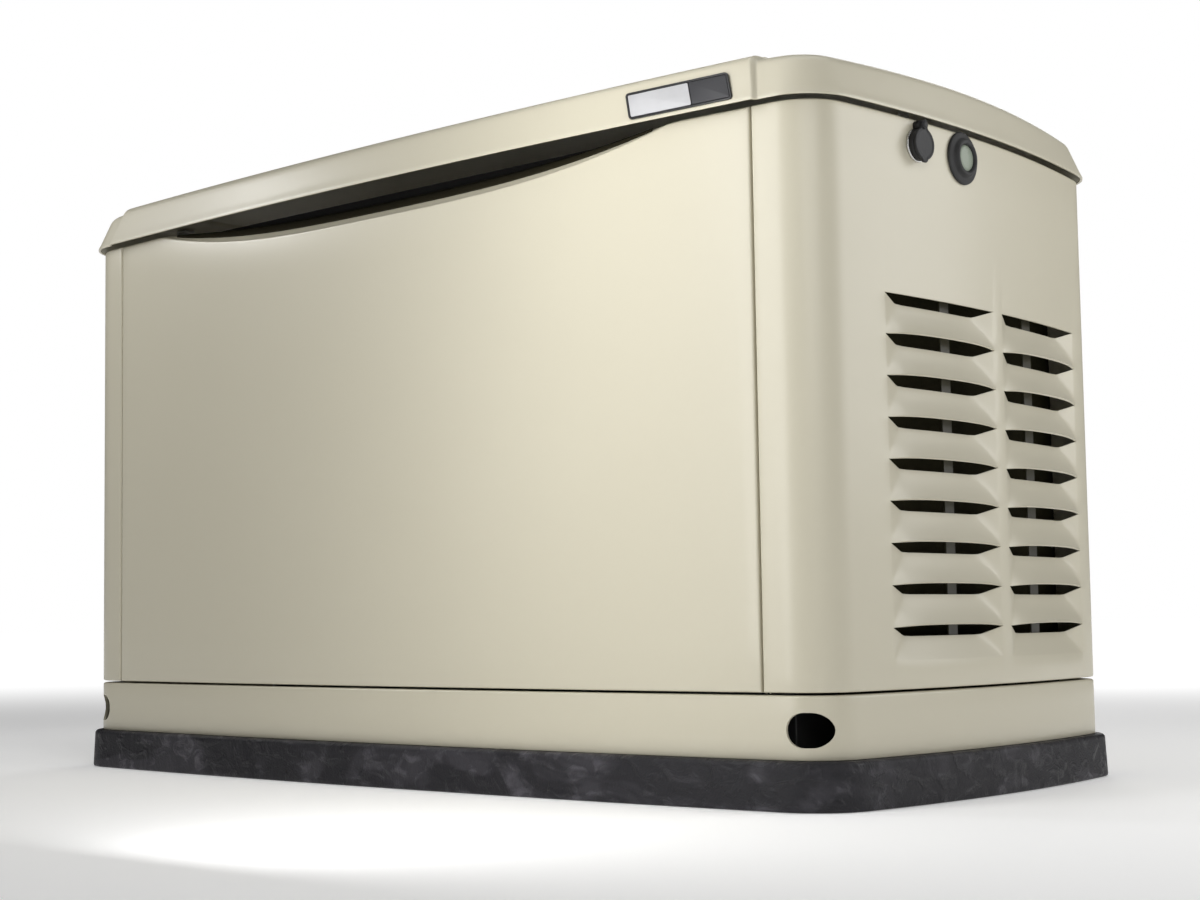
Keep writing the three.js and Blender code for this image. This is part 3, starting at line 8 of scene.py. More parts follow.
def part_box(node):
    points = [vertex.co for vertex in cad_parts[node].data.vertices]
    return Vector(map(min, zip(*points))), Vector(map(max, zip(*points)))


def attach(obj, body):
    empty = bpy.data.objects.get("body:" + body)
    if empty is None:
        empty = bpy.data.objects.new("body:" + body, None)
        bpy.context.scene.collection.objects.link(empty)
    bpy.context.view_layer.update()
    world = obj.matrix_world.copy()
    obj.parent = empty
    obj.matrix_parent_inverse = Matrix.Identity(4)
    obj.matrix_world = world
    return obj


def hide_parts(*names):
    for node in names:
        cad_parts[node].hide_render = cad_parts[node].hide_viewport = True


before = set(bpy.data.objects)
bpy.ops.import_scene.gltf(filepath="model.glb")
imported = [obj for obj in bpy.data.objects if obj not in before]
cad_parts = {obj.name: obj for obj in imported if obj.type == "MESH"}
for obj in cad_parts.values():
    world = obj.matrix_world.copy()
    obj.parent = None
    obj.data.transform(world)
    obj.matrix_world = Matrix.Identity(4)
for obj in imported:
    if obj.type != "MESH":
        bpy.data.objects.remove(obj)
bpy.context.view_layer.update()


# ------------------------------------------------------------------ pad
# The pad is one slab moulded in charcoal composite that lies on gravel or concrete and
# carries everything. Its sides draft inwards, its top edge is rounded, shallow flutes run
# down its corners, and the flow of the filled plastic shows as pale streaks.

class Wire:
    """One value inside a material. Arithmetic on it adds Math nodes."""

    def __init__(self, finish, socket):
        self.finish = finish
        self.socket = socket

    def math(self, operation, first, second):
        return self.finish.node("ShaderNodeMath", {"operation": operation}, {0: first, 1: second})

    def __add__(self, other):
        return self.math("ADD", self, other)

    def __radd__(self, other):
        return self.math("ADD", other, self)

    def __sub__(self, other):
        return self.math("SUBTRACT", self, other)

    def __rsub__(self, other):
        return self.math("SUBTRACT", other, self)

    def __mul__(self, other):
        return self.math("MULTIPLY", self, other)

    def __rmul__(self, other):
        return self.math("MULTIPLY", other, self)

    def between(self, low, high, start=0.0, end=1.0):
        settings = {"interpolation_type": "SMOOTHSTEP"}
        sockets = {"Value": self, "From Min": low, "From Max": high, "To Min": start, "To Max": end}
        return self.finish.node("ShaderNodeMapRange", settings, sockets)


class Finish:
    """A material in the making, round one Principled shader."""

    def __init__(self, name, metallic=0.0, coat=0.0):
        self.material = bpy.data.materials.new(name)
        self.material.use_nodes = True
        self.tree = self.material.node_tree
        self.shader = self.tree.nodes["Principled BSDF"]
        self.shader.inputs["Metallic"].default_value = metallic
        self.shader.inputs["Coat Weight"].default_value = coat
        self.place = self.node("ShaderNodeTexCoord", out="Object")

    def node(self, kind, settings=None, sockets=None, out=0):
        made = self.tree.nodes.new(kind)
        for key, value in (settings or {}).items():
            setattr(made, key, value)
        for key, value in (sockets or {}).items():
            self.feed(made.inputs[key], value)
        return Wire(self, made.outputs[out])

    def feed(self, socket, value):
        if isinstance(socket, str):
            socket = self.shader.inputs[socket]
        if isinstance(value, Wire):
            self.tree.links.new(value.socket, socket)
        else:
            socket.default_value = value

    def cloud(self, scale, detail=3.0, stretch=(1, 1, 1), warp=0.0):
        stretched = self.node("ShaderNodeMapping", None, {"Vector": self.place, "Scale": stretch})
        sockets = {"Vector": stretched, "Scale": scale, "Detail": detail, "Distortion": warp}
        return self.node("ShaderNodeTexNoise", None, sockets)

    def blend(self, first, second, share):
        first, second = ((*end, 1) if isinstance(end, tuple) else end for end in (first, second))
        return self.node("ShaderNodeMix", {"data_type": "RGBA"}, {0: share, 6: first, 7: second}, out=2)

    def paint(self, first, second, share):
        self.feed("Base Color", self.blend(first, second, share))

    def relief(self, height, depth, strength):
        bump = self.node("ShaderNodeBump", None, {"Height": height, "Distance": depth, "Strength": strength})
        self.feed("Normal", bump)


def composite():
    finish = Finish("charcoal_composite")
    streaks = finish.cloud(8, 7, (1, 1, 1.9), 1.6).between(0.46, 0.66)
    threads = finish.cloud(34, 6, (1, 1, 1.5), 1.2).between(0.46, 0.66)
    lumps = finish.cloud(15, 4, (1, 1, 0.6), 0.8)
    grain = finish.cloud(420, 3)
    marks = streaks * 0.35 + threads * streaks * 0.65
    tone = finish.blend((0.006, 0.0052, 0.0082), (0.082, 0.077, 0.090), marks)
    finish.paint(tone, (0.016, 0.015, 0.019), grain * 0.3)
    finish.feed("Specular IOR Level", 0.4)
    finish.feed("Roughness", 0.50 - 0.20 * threads + 0.12 * grain)
    finish.relief(lumps * 0.75 + threads * 0.15 + grain * 0.1, 0.008, 0.8)
    return finish.material


PAD_LIP = 0.0124
pad_low, pad_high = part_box("base_pad")
WALL_LENGTH = pad_high.x - PAD_LIP
WALL_DEPTH = pad_high.y - PAD_LIP
SIDE_BOW = 0.0224
END_BOW = 0.0246
CORNER = 0.055


def bow_radius(half, bow):
    return (half ** 2 + bow ** 2) / (2 * bow)


SIDE_RADIUS = bow_radius(WALL_LENGTH - END_BOW, SIDE_BOW)
END_RADIUS = bow_radius(WALL_DEPTH - SIDE_BOW, END_BOW)
SIDE_CENTRE = SIDE_RADIUS - WALL_DEPTH
END_CENTRE = END_RADIUS - WALL_LENGTH


def corner_centre():
    side, end = SIDE_RADIUS - CORNER, END_RADIUS - CORNER
    apart = math.hypot(END_CENTRE, SIDE_CENTRE)
    along = (side ** 2 - end ** 2 + apart ** 2) / (2 * apart)
    across = math.sqrt(side ** 2 - along ** 2)
    ux, uy = -END_CENTRE / apart, SIDE_CENTRE / apart
    return along * ux + across * uy, -SIDE_CENTRE + along * uy - across * ux


CORNER_X, CORNER_Y = corner_centre()
CORNER_END = math.atan2(CORNER_Y, CORNER_X + END_CENTRE)
CORNER_SIDE = math.atan2(CORNER_Y + SIDE_CENTRE, CORNER_X)


class Station:
    """A spot on the plan of the walls: the arc that it lies on, and the way that it faces."""

    def __init__(self, centre, radius, facing):
        self.centre = Vector((*centre, 0))
        self.radius = radius
        self.facing = Vector((*facing, 0))

    def at(self, out, z):
        spot = self.centre + self.facing * (self.radius + out)
        return Vector((spot.x, spot.y, z))

    def turned_to(self, right, rear):
        flip = Vector((1 if right else -1, 1 if rear else -1, 1))
        return Station((self.centre * flip)[:2], self.radius, (self.facing * flip)[:2])


def on_side(x):
    turn = x / SIDE_RADIUS
    return Station((0, -SIDE_CENTRE), SIDE_RADIUS, (turn, math.sqrt(1 - turn ** 2)))


def on_end(y):
    turn = y / END_RADIUS
    return Station((-END_CENTRE, 0), END_RADIUS, (math.sqrt(1 - turn ** 2), turn))


def on_corner(share):
    """From the end of the side, at 0, round to the start of the end face, at 1."""
    angle = CORNER_SIDE + (CORNER_END - CORNER_SIDE) * share
    return Station((CORNER_X, CORNER_Y), CORNER, (math.cos(angle), math.sin(angle)))


SIDE_END_X = CORNER_X + CORNER * math.cos(CORNER_SIDE)
END_END_Y = CORNER_Y + CORNER * math.sin(CORNER_END)


def steps(low, high, count):
    return [low + (high - low) * i / count for i in range(count + 1)]


def quarter_plan(side_lines, corner_count, end_lines):
    """Stations of the rear right quarter, from x = 0 round to y = 0."""
    made = [on_side(x) for x in side_lines if x < SIDE_END_X - 1e-6]
    made += [on_corner(share) for share in steps(0, 1, corner_count)]
    return made + [on_end(y) for y in sorted(end_lines, reverse=True) if y < END_END_Y - 1e-6]


def full_plan(quarter):
    """The whole plan, anticlockwise from the middle of the front."""
    front_right = [s.turned_to(True, False) for s in quarter]
    rear_right = list(reversed(quarter))[1:]
    rear_left = [s.turned_to(False, True) for s in quarter][1:]
    front_left = [s.turned_to(False, False) for s in reversed(quarter)][1:-1]
    return front_right + rear_right + rear_left + front_left


def skin(made, rows, loop=False, cap_first=False, cap_last=False):
    """Faces between rows of points that all have the same count."""
    rings = [[made.verts.new(point) for point in row] for row in rows]
    for low, high in zip(rings, rings[1:]):
        count = len(low)
        for i in range(count if loop else count - 1):
            made.faces.new((low[i], low[(i + 1) % count], high[(i + 1) % count], high[i]))
    if cap_first:
        made.faces.new(list(reversed(rings[0])))
    if cap_last:
        made.faces.new(rings[-1])
    return rings


def settle(name, made, material, body, stands_for=()):
    """Makes a piece of a bmesh, gives it its finish and sets it on its body."""
    mesh = bpy.data.meshes.new(name)
    made.to_mesh(mesh)
    made.free()
    mesh.shade_smooth()
    mesh.materials.append(material)
    piece = bpy.data.objects.new(name, mesh)
    bpy.context.scene.collection.objects.link(piece)
    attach(piece, body)
    if stands_for:
        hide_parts(*stands_for)
    return piece


def pad():
    lines = quarter_plan(steps(0, SIDE_END_X, 44), 16, steps(0, END_END_Y, 24))
    plan = full_plan(lines)
    flutes = [Vector((sx * x, sy * y, 0)) for sx in (-1, 1) for sy in (-1, 1)
              for x, y in ((0.515, 0.300), (0.556, 0.303), (0.597, 0.262), (0.606, 0.170))]

    def groove(station, z):
        spot = station.at(0, 0)
        near = sum(math.exp(-((spot - flute).length / 0.011) ** 2) for flute in flutes)
        return -0.0016 * near * math.sin(math.pi * min(1, max(0, z / pad_high.z)))

    profile = [(PAD_LIP - 0.0025, 0), (PAD_LIP - 0.0006, 0.0006), (PAD_LIP, 0.0025)]
    profile += [(PAD_LIP - 0.002 * share, 0.0025 + 0.0395 * share) for share in steps(0, 1, 8)[1:]]
    for angle in steps(0, 90, 6)[1:]:
        a = math.radians(angle)
        profile.append((PAD_LIP - 0.002 - 0.005 * (1 - math.cos(a)), 0.042 + 0.005 * math.sin(a)))
    profile.append((-0.010, pad_high.z))
    made = bmesh.new()
    rows = [[s.at(out + groove(s, z), z) for s in plan] for out, z in profile]
    skin(made, rows, loop=True, cap_first=True, cap_last=True)
    return settle("pad_moulding", made, composite(), "enclosure", ["base_pad"])


pad()


# ------------------------------------------------------------------ base frame
# The base frame is a welded tray of 3 mm steel with a skirt all round, bent in at the top
# to a ledge that the panels stand on. Two oblong holes in front and two behind take lifting
# bars. It is powder coated with the panels and bolted to the pad through its floor.

def powder_coat(name, colour, shade):
    finish = Finish(name, coat=0.3)
    finish.shader.inputs["Coat Roughness"].default_value = 0.22
    patches = finish.cloud(2.4, 2)
    peel = finish.cloud(300, 2)
    specks = finish.cloud(1300, 1).between(0.70, 0.80)
    tone = finish.blend(colour, shade, patches.between(0.3, 0.7) * 0.6)
    finish.paint(tone, tuple(0.86 * part for part in shade), specks * 0.35)
    finish.feed("Roughness", 0.34 + 0.10 * finish.cloud(22, 4) + 0.05 * peel)
    finish.relief(peel, 0.00016, 0.16)
    return finish.material


beige_coat = powder_coat("beige_powder_coat", (0.575, 0.540, 0.425), (0.558, 0.522, 0.408))

SKIRT_LOW, SKIRT_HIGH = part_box("base_frame")
SKIRT_TOP = SKIRT_HIGH.z
SKIRT_SHEET = 0.003
LEDGE = 0.014
HOLE_X = 0.549
HOLE_Z = 0.0755
HOLE_LENGTH = 0.040
HOLE_HEIGHT = 0.033


def cut_away(piece, cutter):
    """Cuts a bmesh out of a piece for good."""
    mesh = bpy.data.meshes.new("cutter")
    cutter.to_mesh(mesh)
    cutter.free()
    tool = bpy.data.objects.new("cutter", mesh)
    bpy.context.scene.collection.objects.link(tool)
    cut = piece.modifiers.new("cut", "BOOLEAN")
    cut.operation = "DIFFERENCE"
    cut.solver = "EXACT"
    cut.object = tool
    bpy.context.view_layer.update()
    result = bpy.data.meshes.new_from_object(piece.evaluated_get(bpy.context.evaluated_depsgraph_get()))
    piece.modifiers.clear()
    piece.data = result
    bpy.data.objects.remove(tool)
    return piece


def oblong(length, height):
    """Outline of a slot with round ends, as (along, up)."""
    radius = height / 2
    straight = (length - height) / 2
    turn = [math.radians(a) for a in steps(-90, 90, 14)]
    right = [(straight + radius * math.cos(a), radius * math.sin(a)) for a in turn]
    return right + [(-x, -z) for x, z in right]


def soften(piece, width, angle=35):
    """Breaks the sharp edges, as a press, a mould or a file does."""
    edge = piece.modifiers.new("broken_edges", "BEVEL")
    edge.width = width
    edge.segments = 2
    edge.limit_method = "ANGLE"
    edge.angle_limit = math.radians(angle)
    edge.harden_normals = True
    edge.use_clamp_overlap = True
    return piece


def base_frame():
    plan = full_plan(quarter_plan(steps(0, SIDE_END_X, 36), 12, steps(0, END_END_Y, 16)))
    low = SKIRT_LOW.z
    bend = [(-SKIRT_SHEET * (1 - math.cos(a)), SKIRT_TOP - SKIRT_SHEET + SKIRT_SHEET * math.sin(a))
            for a in (math.radians(d) for d in steps(0, 90, 4))]
    under = SKIRT_TOP - SKIRT_SHEET
    profile = [(-SKIRT_SHEET, low), (-0.0004, low), (0, low + 0.0006), (0, low + 0.02), (0, 0.085), *bend,
               (-LEDGE + 0.001, SKIRT_TOP), (-LEDGE, SKIRT_TOP - 0.0006), (-LEDGE, under), (-0.006, under),
               (-SKIRT_SHEET, SKIRT_TOP - 0.006), (-SKIRT_SHEET, low + 0.004)]
    made = bmesh.new()
    rings = skin(made, [[s.at(out, z) for s in plan] for out, z in profile], loop=True)
    made.faces.new(rings[-1])
    made.faces.new(list(reversed(rings[0])))
    bmesh.ops.recalc_face_normals(made, faces=made.faces)
    tray = settle("base_frame_tray", made, beige_coat, "enclosure", ["base_frame"])
    drill = bmesh.new()
    for end in (-1, 1):
        for side in (-1, 1):
            near, far = side * (WALL_DEPTH - 0.055), side * (WALL_DEPTH + 0.03)
            outline = oblong(HOLE_LENGTH, HOLE_HEIGHT)
            rows = [[Vector((end * HOLE_X + x, y, HOLE_Z + z)) for x, z in outline] for y in (near, far)]
            skin(drill, rows, loop=True, cap_first=True, cap_last=True)
    bmesh.ops.recalc_face_normals(drill, faces=drill.faces)
    cut_away(tray, drill)
    return soften(tray, 0.0005, 40)


base_frame()


# ------------------------------------------------------------------ end panels
# Each end panel is pressed from 2 mm steel and wraps the corners from the front seam to the
# rear one. Two columns of louvres let the cooling air in at the right and out at the left.
# Every blade is slit along its top, pushed in behind the slit and rolled out at its lip.

SHEET = 0.002
PANEL_LOW, PANEL_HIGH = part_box("right_end_panel")[0].z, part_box("right_end_panel")[1].z
SEAM_X = 0.505
SEAM_RETURN = 0.012
FOLD = 0.0022
LOUVRE_TOP = 0.4973
LOUVRE_PITCH = 0.0409
LOUVRE_RECESS = 0.0105
LOUVRE_LIP = 0.0046
LOUVRE_ARCH = 0.0036
LOUVRE_SLOT = 0.0085
LOUVRE_RAMP = 0.030
BLADE_STEPS = [0, 0.12, 0.26, 0.4, 0.54, 0.67, 0.78, 0.87, 0.94, 1]


def soft_least(a, b, blur):
    share = min(1, max(0, 0.5 + 0.5 * (b - a) / blur))
    return b * (1 - share) + a * share - blur * share * (1 - share)


def blade_point(edge, width, t, last):
    """(out, rise) on a blade at `edge` from its nearer end: t is 0 at the slit, 1 at the lip."""
    ramp = edge / LOUVRE_RAMP
    middle = 1 - 2 * edge / width
    roll = (1 - max(0, middle) ** 5) ** 0.9
    recess = LOUVRE_RECESS * max(0, soft_least(1 - t, ramp, 0.14))
    lip = 0 if last else LOUVRE_LIP * roll * t ** 2.4
    drop = LOUVRE_SLOT * max(0, soft_least(1, ramp, 0.2))
    top = -drop
    bottom = -LOUVRE_PITCH + (0 if last else LOUVRE_ARCH * roll * (1 - max(0, middle) ** 2 * 0.4))
    if last:
        bottom += LOUVRE_SLOT
    return -recess + lip, top + (bottom - top) * t


def hem(low, high):
    """(out, place) pairs across a panel from one folded edge to the other, without its middle."""
    turn = [math.radians(a) for a in (60, 30, 0)]
    start = [(-SEAM_RETURN, low), (-FOLD, low)]
    start += [(-FOLD * (1 - math.cos(a)), low + FOLD * (1 - math.sin(a))) for a in turn]
    return start, [(out, high - (place - low)) for out, place in reversed(start)]


def louvred_sheet(lines, columns, blades):
    """lines are (station, fold, place along the wall or None) from one seam to the other."""
    levels = []
    start, end = hem(PANEL_LOW, PANEL_HIGH)
    foot = LOUVRE_TOP - blades * LOUVRE_PITCH + LOUVRE_SLOT
    levels += [(z, out, None) for out, z in start]
    levels += [(z, 0, None) for z in steps(start[-1][1], foot, 2)[1:-1]]
    levels.append((foot, 0, None))
    for blade in reversed(range(blades)):
        top = LOUVRE_TOP - blade * LOUVRE_PITCH
        height = LOUVRE_PITCH - (LOUVRE_SLOT if blade == blades - 1 else 0)
        marks = reversed(BLADE_STEPS[:-1])
        levels += [(top - height * t, 0, (blade, t)) for t in marks]
    levels += [(z, 0, None) for z in steps(LOUVRE_TOP, end[0][1], 3)[1:-1]]
    levels += [(z, out, None) for out, z in end]
    made = bmesh.new()
    grid = {}

    def inside(place):
        for low, high in columns:
            if place is not None and low + 1e-6 < place < high - 1e-6:
                return low, high
        return None

    def point(i, j, lip):
        station, fold, place = lines[i]
        z, out, mark = levels[j]
        out = -max(-fold, -out)
        column = inside(place)
        if mark and column:
            blade, t = mark
            last = blade == blades - 1
            if lip:
                blade, t, last = blade - 1, 1, False
            if blade >= 0:
                edge = min(place - column[0], column[1] - place)
                push, rise = blade_point(edge, column[1] - column[0], t, last)
                out += push
                z = LOUVRE_TOP - blade * LOUVRE_PITCH + rise
        return station.at(out, z)

    def vert(i, j, above):
        mark = levels[j][2]
        torn = bool(mark and mark[1] == 0 and inside(lines[i][2]))
        key = (i, j, above and torn)
        if key not in grid:
            grid[key] = made.verts.new(point(i, j, above and torn))
        return grid[key]

    for i in range(len(lines) - 1):
        for j in range(len(levels) - 1):
            low = [vert(i, j, True), vert(i + 1, j, True)]
            high = [vert(i + 1, j + 1, False), vert(i, j + 1, False)]
            made.faces.new((*low, *high))
    bmesh.ops.recalc_face_normals(made, faces=made.faces)
    return made


def face_outward(made, probe):
    """Turns every face so that the one nearest to the probe faces it."""
    made.faces.ensure_lookup_table()
    nearest = min(made.faces, key=lambda face: (face.calc_center_median() - probe).length)
    if nearest.normal.dot(probe - nearest.calc_center_median()) < 0:
        bmesh.ops.reverse_faces(made, faces=made.faces)
    return made


def pressed(name, made, sheet, body="enclosure", stands_for=(), bores=None):
    """A piece of painted sheet steel: the mesh is its outer face, and bores are cut from it."""
    piece = settle(name, made, beige_coat, body, stands_for)
    wall = piece.modifiers.new("sheet", "SOLIDIFY")
    wall.thickness = sheet
    wall.offset = -1
    wall.use_even_offset = False
    if bores:
        cut_away(piece, bores)
    return soften(piece, 0.00035, 50)


def turned(made, profile, spot, count=48):
    """Adds a body of (radius, out) points turned about the X axis of `spot`."""
    rings = []
    for radius, out in profile:
        if radius == 0:
            rings.append([made.verts.new(spot @ Vector((out, 0, 0)))])
            continue
        turns = [2 * math.pi * i / count for i in range(count)]
        rings.append([made.verts.new(spot @ Vector((out, radius * math.cos(a), radius * math.sin(a))))
                      for a in turns])
    faces = []
    for low, high in zip(rings, rings[1:]):
        for i in range(count):
            corners = [low[i % len(low)], low[(i + 1) % len(low)]]
            corners += [high[(i + 1) % len(high)], high[i % len(high)]]
            faces.append(made.faces.new(list(dict.fromkeys(corners))))
    bmesh.ops.recalc_face_normals(made, faces=faces)


def end_spot(y, z, right=True):
    """The frame of something set in an end face: X is out of it."""
    station = on_end(y).turned_to(right, True)
    out = station.facing
    side = Vector((0, 0, 1)).cross(out)
    turn = Matrix((out, side, Vector((0, 0, 1)))).transposed().to_4x4()
    return Matrix.Translation(station.at(0, z)) @ turn


def column_lines(columns):
    lines = set()
    for low, high in columns:
        lines.update(steps(low, low + LOUVRE_RAMP, 10))
        lines.update(steps(low + LOUVRE_RAMP, high - LOUVRE_RAMP, 12))
        lines.update(steps(high - LOUVRE_RAMP, high, 10))
    return sorted({round(line, 6) for line in lines})


def bore(drill, radius, reach, spot):
    """Adds a round cutter that goes `reach` to both sides of the sheet at `spot`."""
    turned(drill, [(0, -reach), (radius, -reach), (radius, reach), (0, reach)], spot, 32)


END_COLUMNS = [(-0.186, 0.011), (0.028, 0.218)]
LOCK_Y = -0.128
LOCK_Z = 0.651
LOCK_BORE = 0.0118
LIGHT_Y = -0.046
LIGHT_Z = 0.6505
LIGHT_BORE = 0.0145


def end_panel(right):
    fold = hem(0, 1)[0]
    side = [(on_side(SEAM_X + place), out, None) for out, place in fold]
    side += [(on_side(x), 0, None) for x in steps(SEAM_X + FOLD, SIDE_END_X, 4)[1:-1]]
    side += [(on_corner(share), 0, None) for share in steps(0, 1, 18)]
    end_lines = [y for y in column_lines(END_COLUMNS) if abs(y) < END_END_Y]
    end_lines += [-0.245, -0.225, -0.205, 0.0195, 0.236]
    ends = [(on_end(y), 0, y) for y in sorted(end_lines) if abs(y) < END_END_Y - 0.002]
    front = [(s.turned_to(True, False), out, None) for s, out, _ in side]
    lines = front + ends + list(reversed(side))
    lines = [(s.turned_to(right, True), out, place) for s, out, place in lines]
    name = "right" if right else "left"
    made = louvred_sheet(lines, END_COLUMNS, 9)
    face_outward(made, Vector((1 if right else -1, 0.02, 0.58)))
    drill = bmesh.new()
    bore(drill, LOCK_BORE, 0.02, end_spot(LOCK_Y, LOCK_Z, right))
    if right:
        bore(drill, LIGHT_BORE, 0.02, end_spot(LIGHT_Y, LIGHT_Z))
    pressed(f"{name}_end_panel_pressing", made, SHEET, stands_for=[f"{name}_end_panel"], bores=drill)


end_panel(True)
end_panel(False)


# Painted shade: a darkened copy of the beige coat for the braces, as beige looks in the shade behind the
# slits.
brace_shade_coat = powder_coat("olive_painted_shade_coat", (0.040, 0.036, 0.018), (0.032, 0.029, 0.014))
BRACE_PLACES = (-0.062, 0.118)
BRACE_Z = 0.32
BRACE_INSET = 0.0165
BRACE_SIZE = (0.002, 0.018, 0.40)


def louvre_brace(right):
    """Upright flat bars welded behind the louvre columns, which the slits show; their dark olive coat is
    painted shade.
    """
    made = bmesh.new()
    sign = 1 if right else -1
    for y in BRACE_PLACES:
        x = sign * (math.sqrt(END_RADIUS ** 2 - y * y) - END_CENTRE - BRACE_INSET)
        size = Matrix.Diagonal((*BRACE_SIZE, 1))
        bmesh.ops.create_cube(made, size=1, matrix=Matrix.Translation((x, y, BRACE_Z)) @ size)
    name = "right" if right else "left"
    return soften(settle(f"{name}_louvre_brace", made, brace_shade_coat, "enclosure"), 0.0004)


louvre_brace(True)
louvre_brace(False)


def intake_shade_baffle():
    """Foam-faced sheet inside the intake louvres that keeps rain and noise off the bay; its dark olive colour
    is painted shade, for the shade seen through the slits.
    """
    shade_foam = Finish("baffle_painted_shade")
    cells = shade_foam.cloud(380, 3)
    # Painted shade: dark olive, as the inside of the end looks through the slits.
    shade_foam.paint((0.020, 0.018, 0.008), (0.034, 0.030, 0.014), cells)
    shade_foam.feed("Roughness", 0.85 + 0.1 * cells)
    shade_foam.feed("Specular IOR Level", 0.15)
    shade_foam.relief(cells, 0.0008, 0.6)
    made = bmesh.new()
    plan = [(0.534, -0.206), (0.544, -0.206), (0.546, -0.204)]
    plan += [(0.5475, y) for y in steps(-0.19, 0.215, 12)]
    plan += [(0.546, 0.229), (0.544, 0.231), (0.534, 0.231)]
    skin(made, [[Vector((x, y, z)) for x, y in plan] for z in (0.105, 0.125, 0.30, 0.50, 0.525)])
    face_outward(made, Vector((1, 0, 0.3)))
    sheet = settle("intake_shade_baffle", made, shade_foam.material, "enclosure")
    wall = sheet.modifiers.new("sheet", "SOLIDIFY")
    wall.thickness = 0.004
    wall.offset = -1
    return soften(sheet, 0.0012, 50)


intake_shade_baffle()


# ------------------------------------------------------------------ rear panel
# The rear panel closes the back between the end panels. It is pressed like them, with three
# short louvre columns over the alternator and a bore for the fuel pipe at its foot.

REAR_COLUMNS = [(-0.330, -0.130), (-0.100, 0.100), (0.130, 0.330)]
HALF = SEAM_X - 0.0025
FUEL_X = 0.440
FUEL_Z = 0.150
FUEL_BORE = 0.0165


def rear_panel():
    start, end = hem(-HALF, HALF)
    places = column_lines(REAR_COLUMNS) + steps(start[-1][1], REAR_COLUMNS[0][0], 4)[1:-1]
    places += steps(REAR_COLUMNS[-1][1], end[0][1], 4)[1:-1]
    lines = [(on_side(x), out, None) for out, x in start]
    lines += [(on_side(x), 0, x) for x in sorted(places)]
    lines += [(on_side(x), out, None) for out, x in end]
    made = louvred_sheet(lines, REAR_COLUMNS, 4)
    face_outward(made, Vector((0, 1, 0.6)))
    wall = on_side(FUEL_X).at(0, FUEL_Z)
    drill = bmesh.new()
    bore(drill, FUEL_BORE, 0.03, Matrix.Translation(wall) @ Matrix.Rotation(math.pi / 2, 4, "Z"))
    pressed("rear_panel_pressing", made, SHEET, stands_for=["rear_panel"], bores=drill)


rear_panel()


# ------------------------------------------------------------------ front panel
# The front panel is one bowed sheet hooked on at its foot and held by the lid. Its top edge
# dips in a long smile and rolls back into a sloping finger scoop, by which it is lifted off.

SCOOP_HALF = 0.410
SCOOP_DROP = 0.036
SCOOP_DEPTH = 0.024
SCOOP_RISE = 0.021
SCOOP_ROLL = 0.0032


def dip(x):
    return max(0, 1 - abs(x / SCOOP_HALF) ** 3)


def front_panel():
    start, end = hem(-HALF, HALF)
    columns = start + [(0, x) for x in steps(start[-1][1], end[0][1], 64)[1:-1]] + end
    made = bmesh.new()
    rows = []
    foot = hem(PANEL_LOW, PANEL_HIGH)[0]
    for out, z in foot:
        rows.append([(x, -max(-fold, -out), z) for fold, x in columns])

    def edge(x):
        return PANEL_HIGH - SCOOP_DROP * dip(x)

    for share in steps(0, 1, 12)[1:]:
        rows.append([(x, fold, foot[-1][1] + (edge(x) - SCOOP_ROLL - foot[-1][1]) * share)
                     for fold, x in columns])
    for a in (math.radians(d) for d in (22, 45, 68)):
        rows.append([(x, min(fold, -SCOOP_ROLL * (1 - math.cos(a))), edge(x) - SCOOP_ROLL * (1 - math.sin(a)))
                     for fold, x in columns])
    for share in (0, 0.15, 0.35, 0.6, 0.85, 1):
        row = []
        for fold, x in columns:
            depth = 2 * SHEET + SCOOP_DEPTH * max(0, 1 - (x / SCOOP_HALF) ** 2)
            back = SCOOP_ROLL + (depth - SCOOP_ROLL) * share
            rise = SCOOP_RISE * dip(x) * share ** 1.15
            row.append((x, min(fold, -back), edge(x) + rise))
        rows.append(row)
    points = [[on_side(x).turned_to(True, False).at(out, z) for x, out, z in row] for row in rows]
    skin(made, points)
    bmesh.ops.recalc_face_normals(made, faces=made.faces)
    face_outward(made, Vector((0, -1, 0.4)))
    return pressed("front_panel_pressing", made, SHEET, body="front_panel", stands_for=["front_panel"])


def scoop_shade_seal():
    """Black foam strip glued along the back of the scoop, which the lid presses on; its near-black colour is
    painted shade on the scoop's slope under the lid.
    """
    made = bmesh.new()
    rows = []
    columns = steps(-0.94 * SCOOP_HALF, 0.94 * SCOOP_HALF, 60)
    section = ((0.44, 0.0002), (0.46, 0.0016), (0.58, 0.0024), (0.75, 0.0024), (0.96, 0.0020), (0.98, 0.0002))
    for share, lift in section:
        row = []
        for x in columns:
            depth = 2 * SHEET + SCOOP_DEPTH * (1 - (x / SCOOP_HALF) ** 2)
            back = SCOOP_ROLL + (depth - SCOOP_ROLL) * share
            z = PANEL_HIGH - SCOOP_DROP * dip(x) + SCOOP_RISE * dip(x) * share ** 1.15
            row.append(on_side(x).turned_to(True, False).at(-back, z + lift))
        rows.append(row)
    skin(made, rows)
    bmesh.ops.recalc_face_normals(made, faces=made.faces)
    face_outward(made, Vector((0, -0.3, 1.2)))
    shade_foam = Finish("seal_painted_shade")
    cells = shade_foam.cloud(600, 3)
    # Painted shade: near-black, for the shade on the scoop under the lid's lip.
    shade_foam.paint((0.014, 0.012, 0.006), (0.022, 0.019, 0.009), cells)
    shade_foam.feed("Roughness", 0.85 + 0.1 * cells)
    shade_foam.feed("Specular IOR Level", 0.1)
    shade_foam.relief(cells, 0.0004, 0.5)
    strip = settle("scoop_shade_seal", made, shade_foam.material, "front_panel")
    thick = strip.modifiers.new("shade_foam", "SOLIDIFY")
    thick.thickness = 0.0006
    thick.offset = -1
    return strip


front_panel()
scoop_shade_seal()


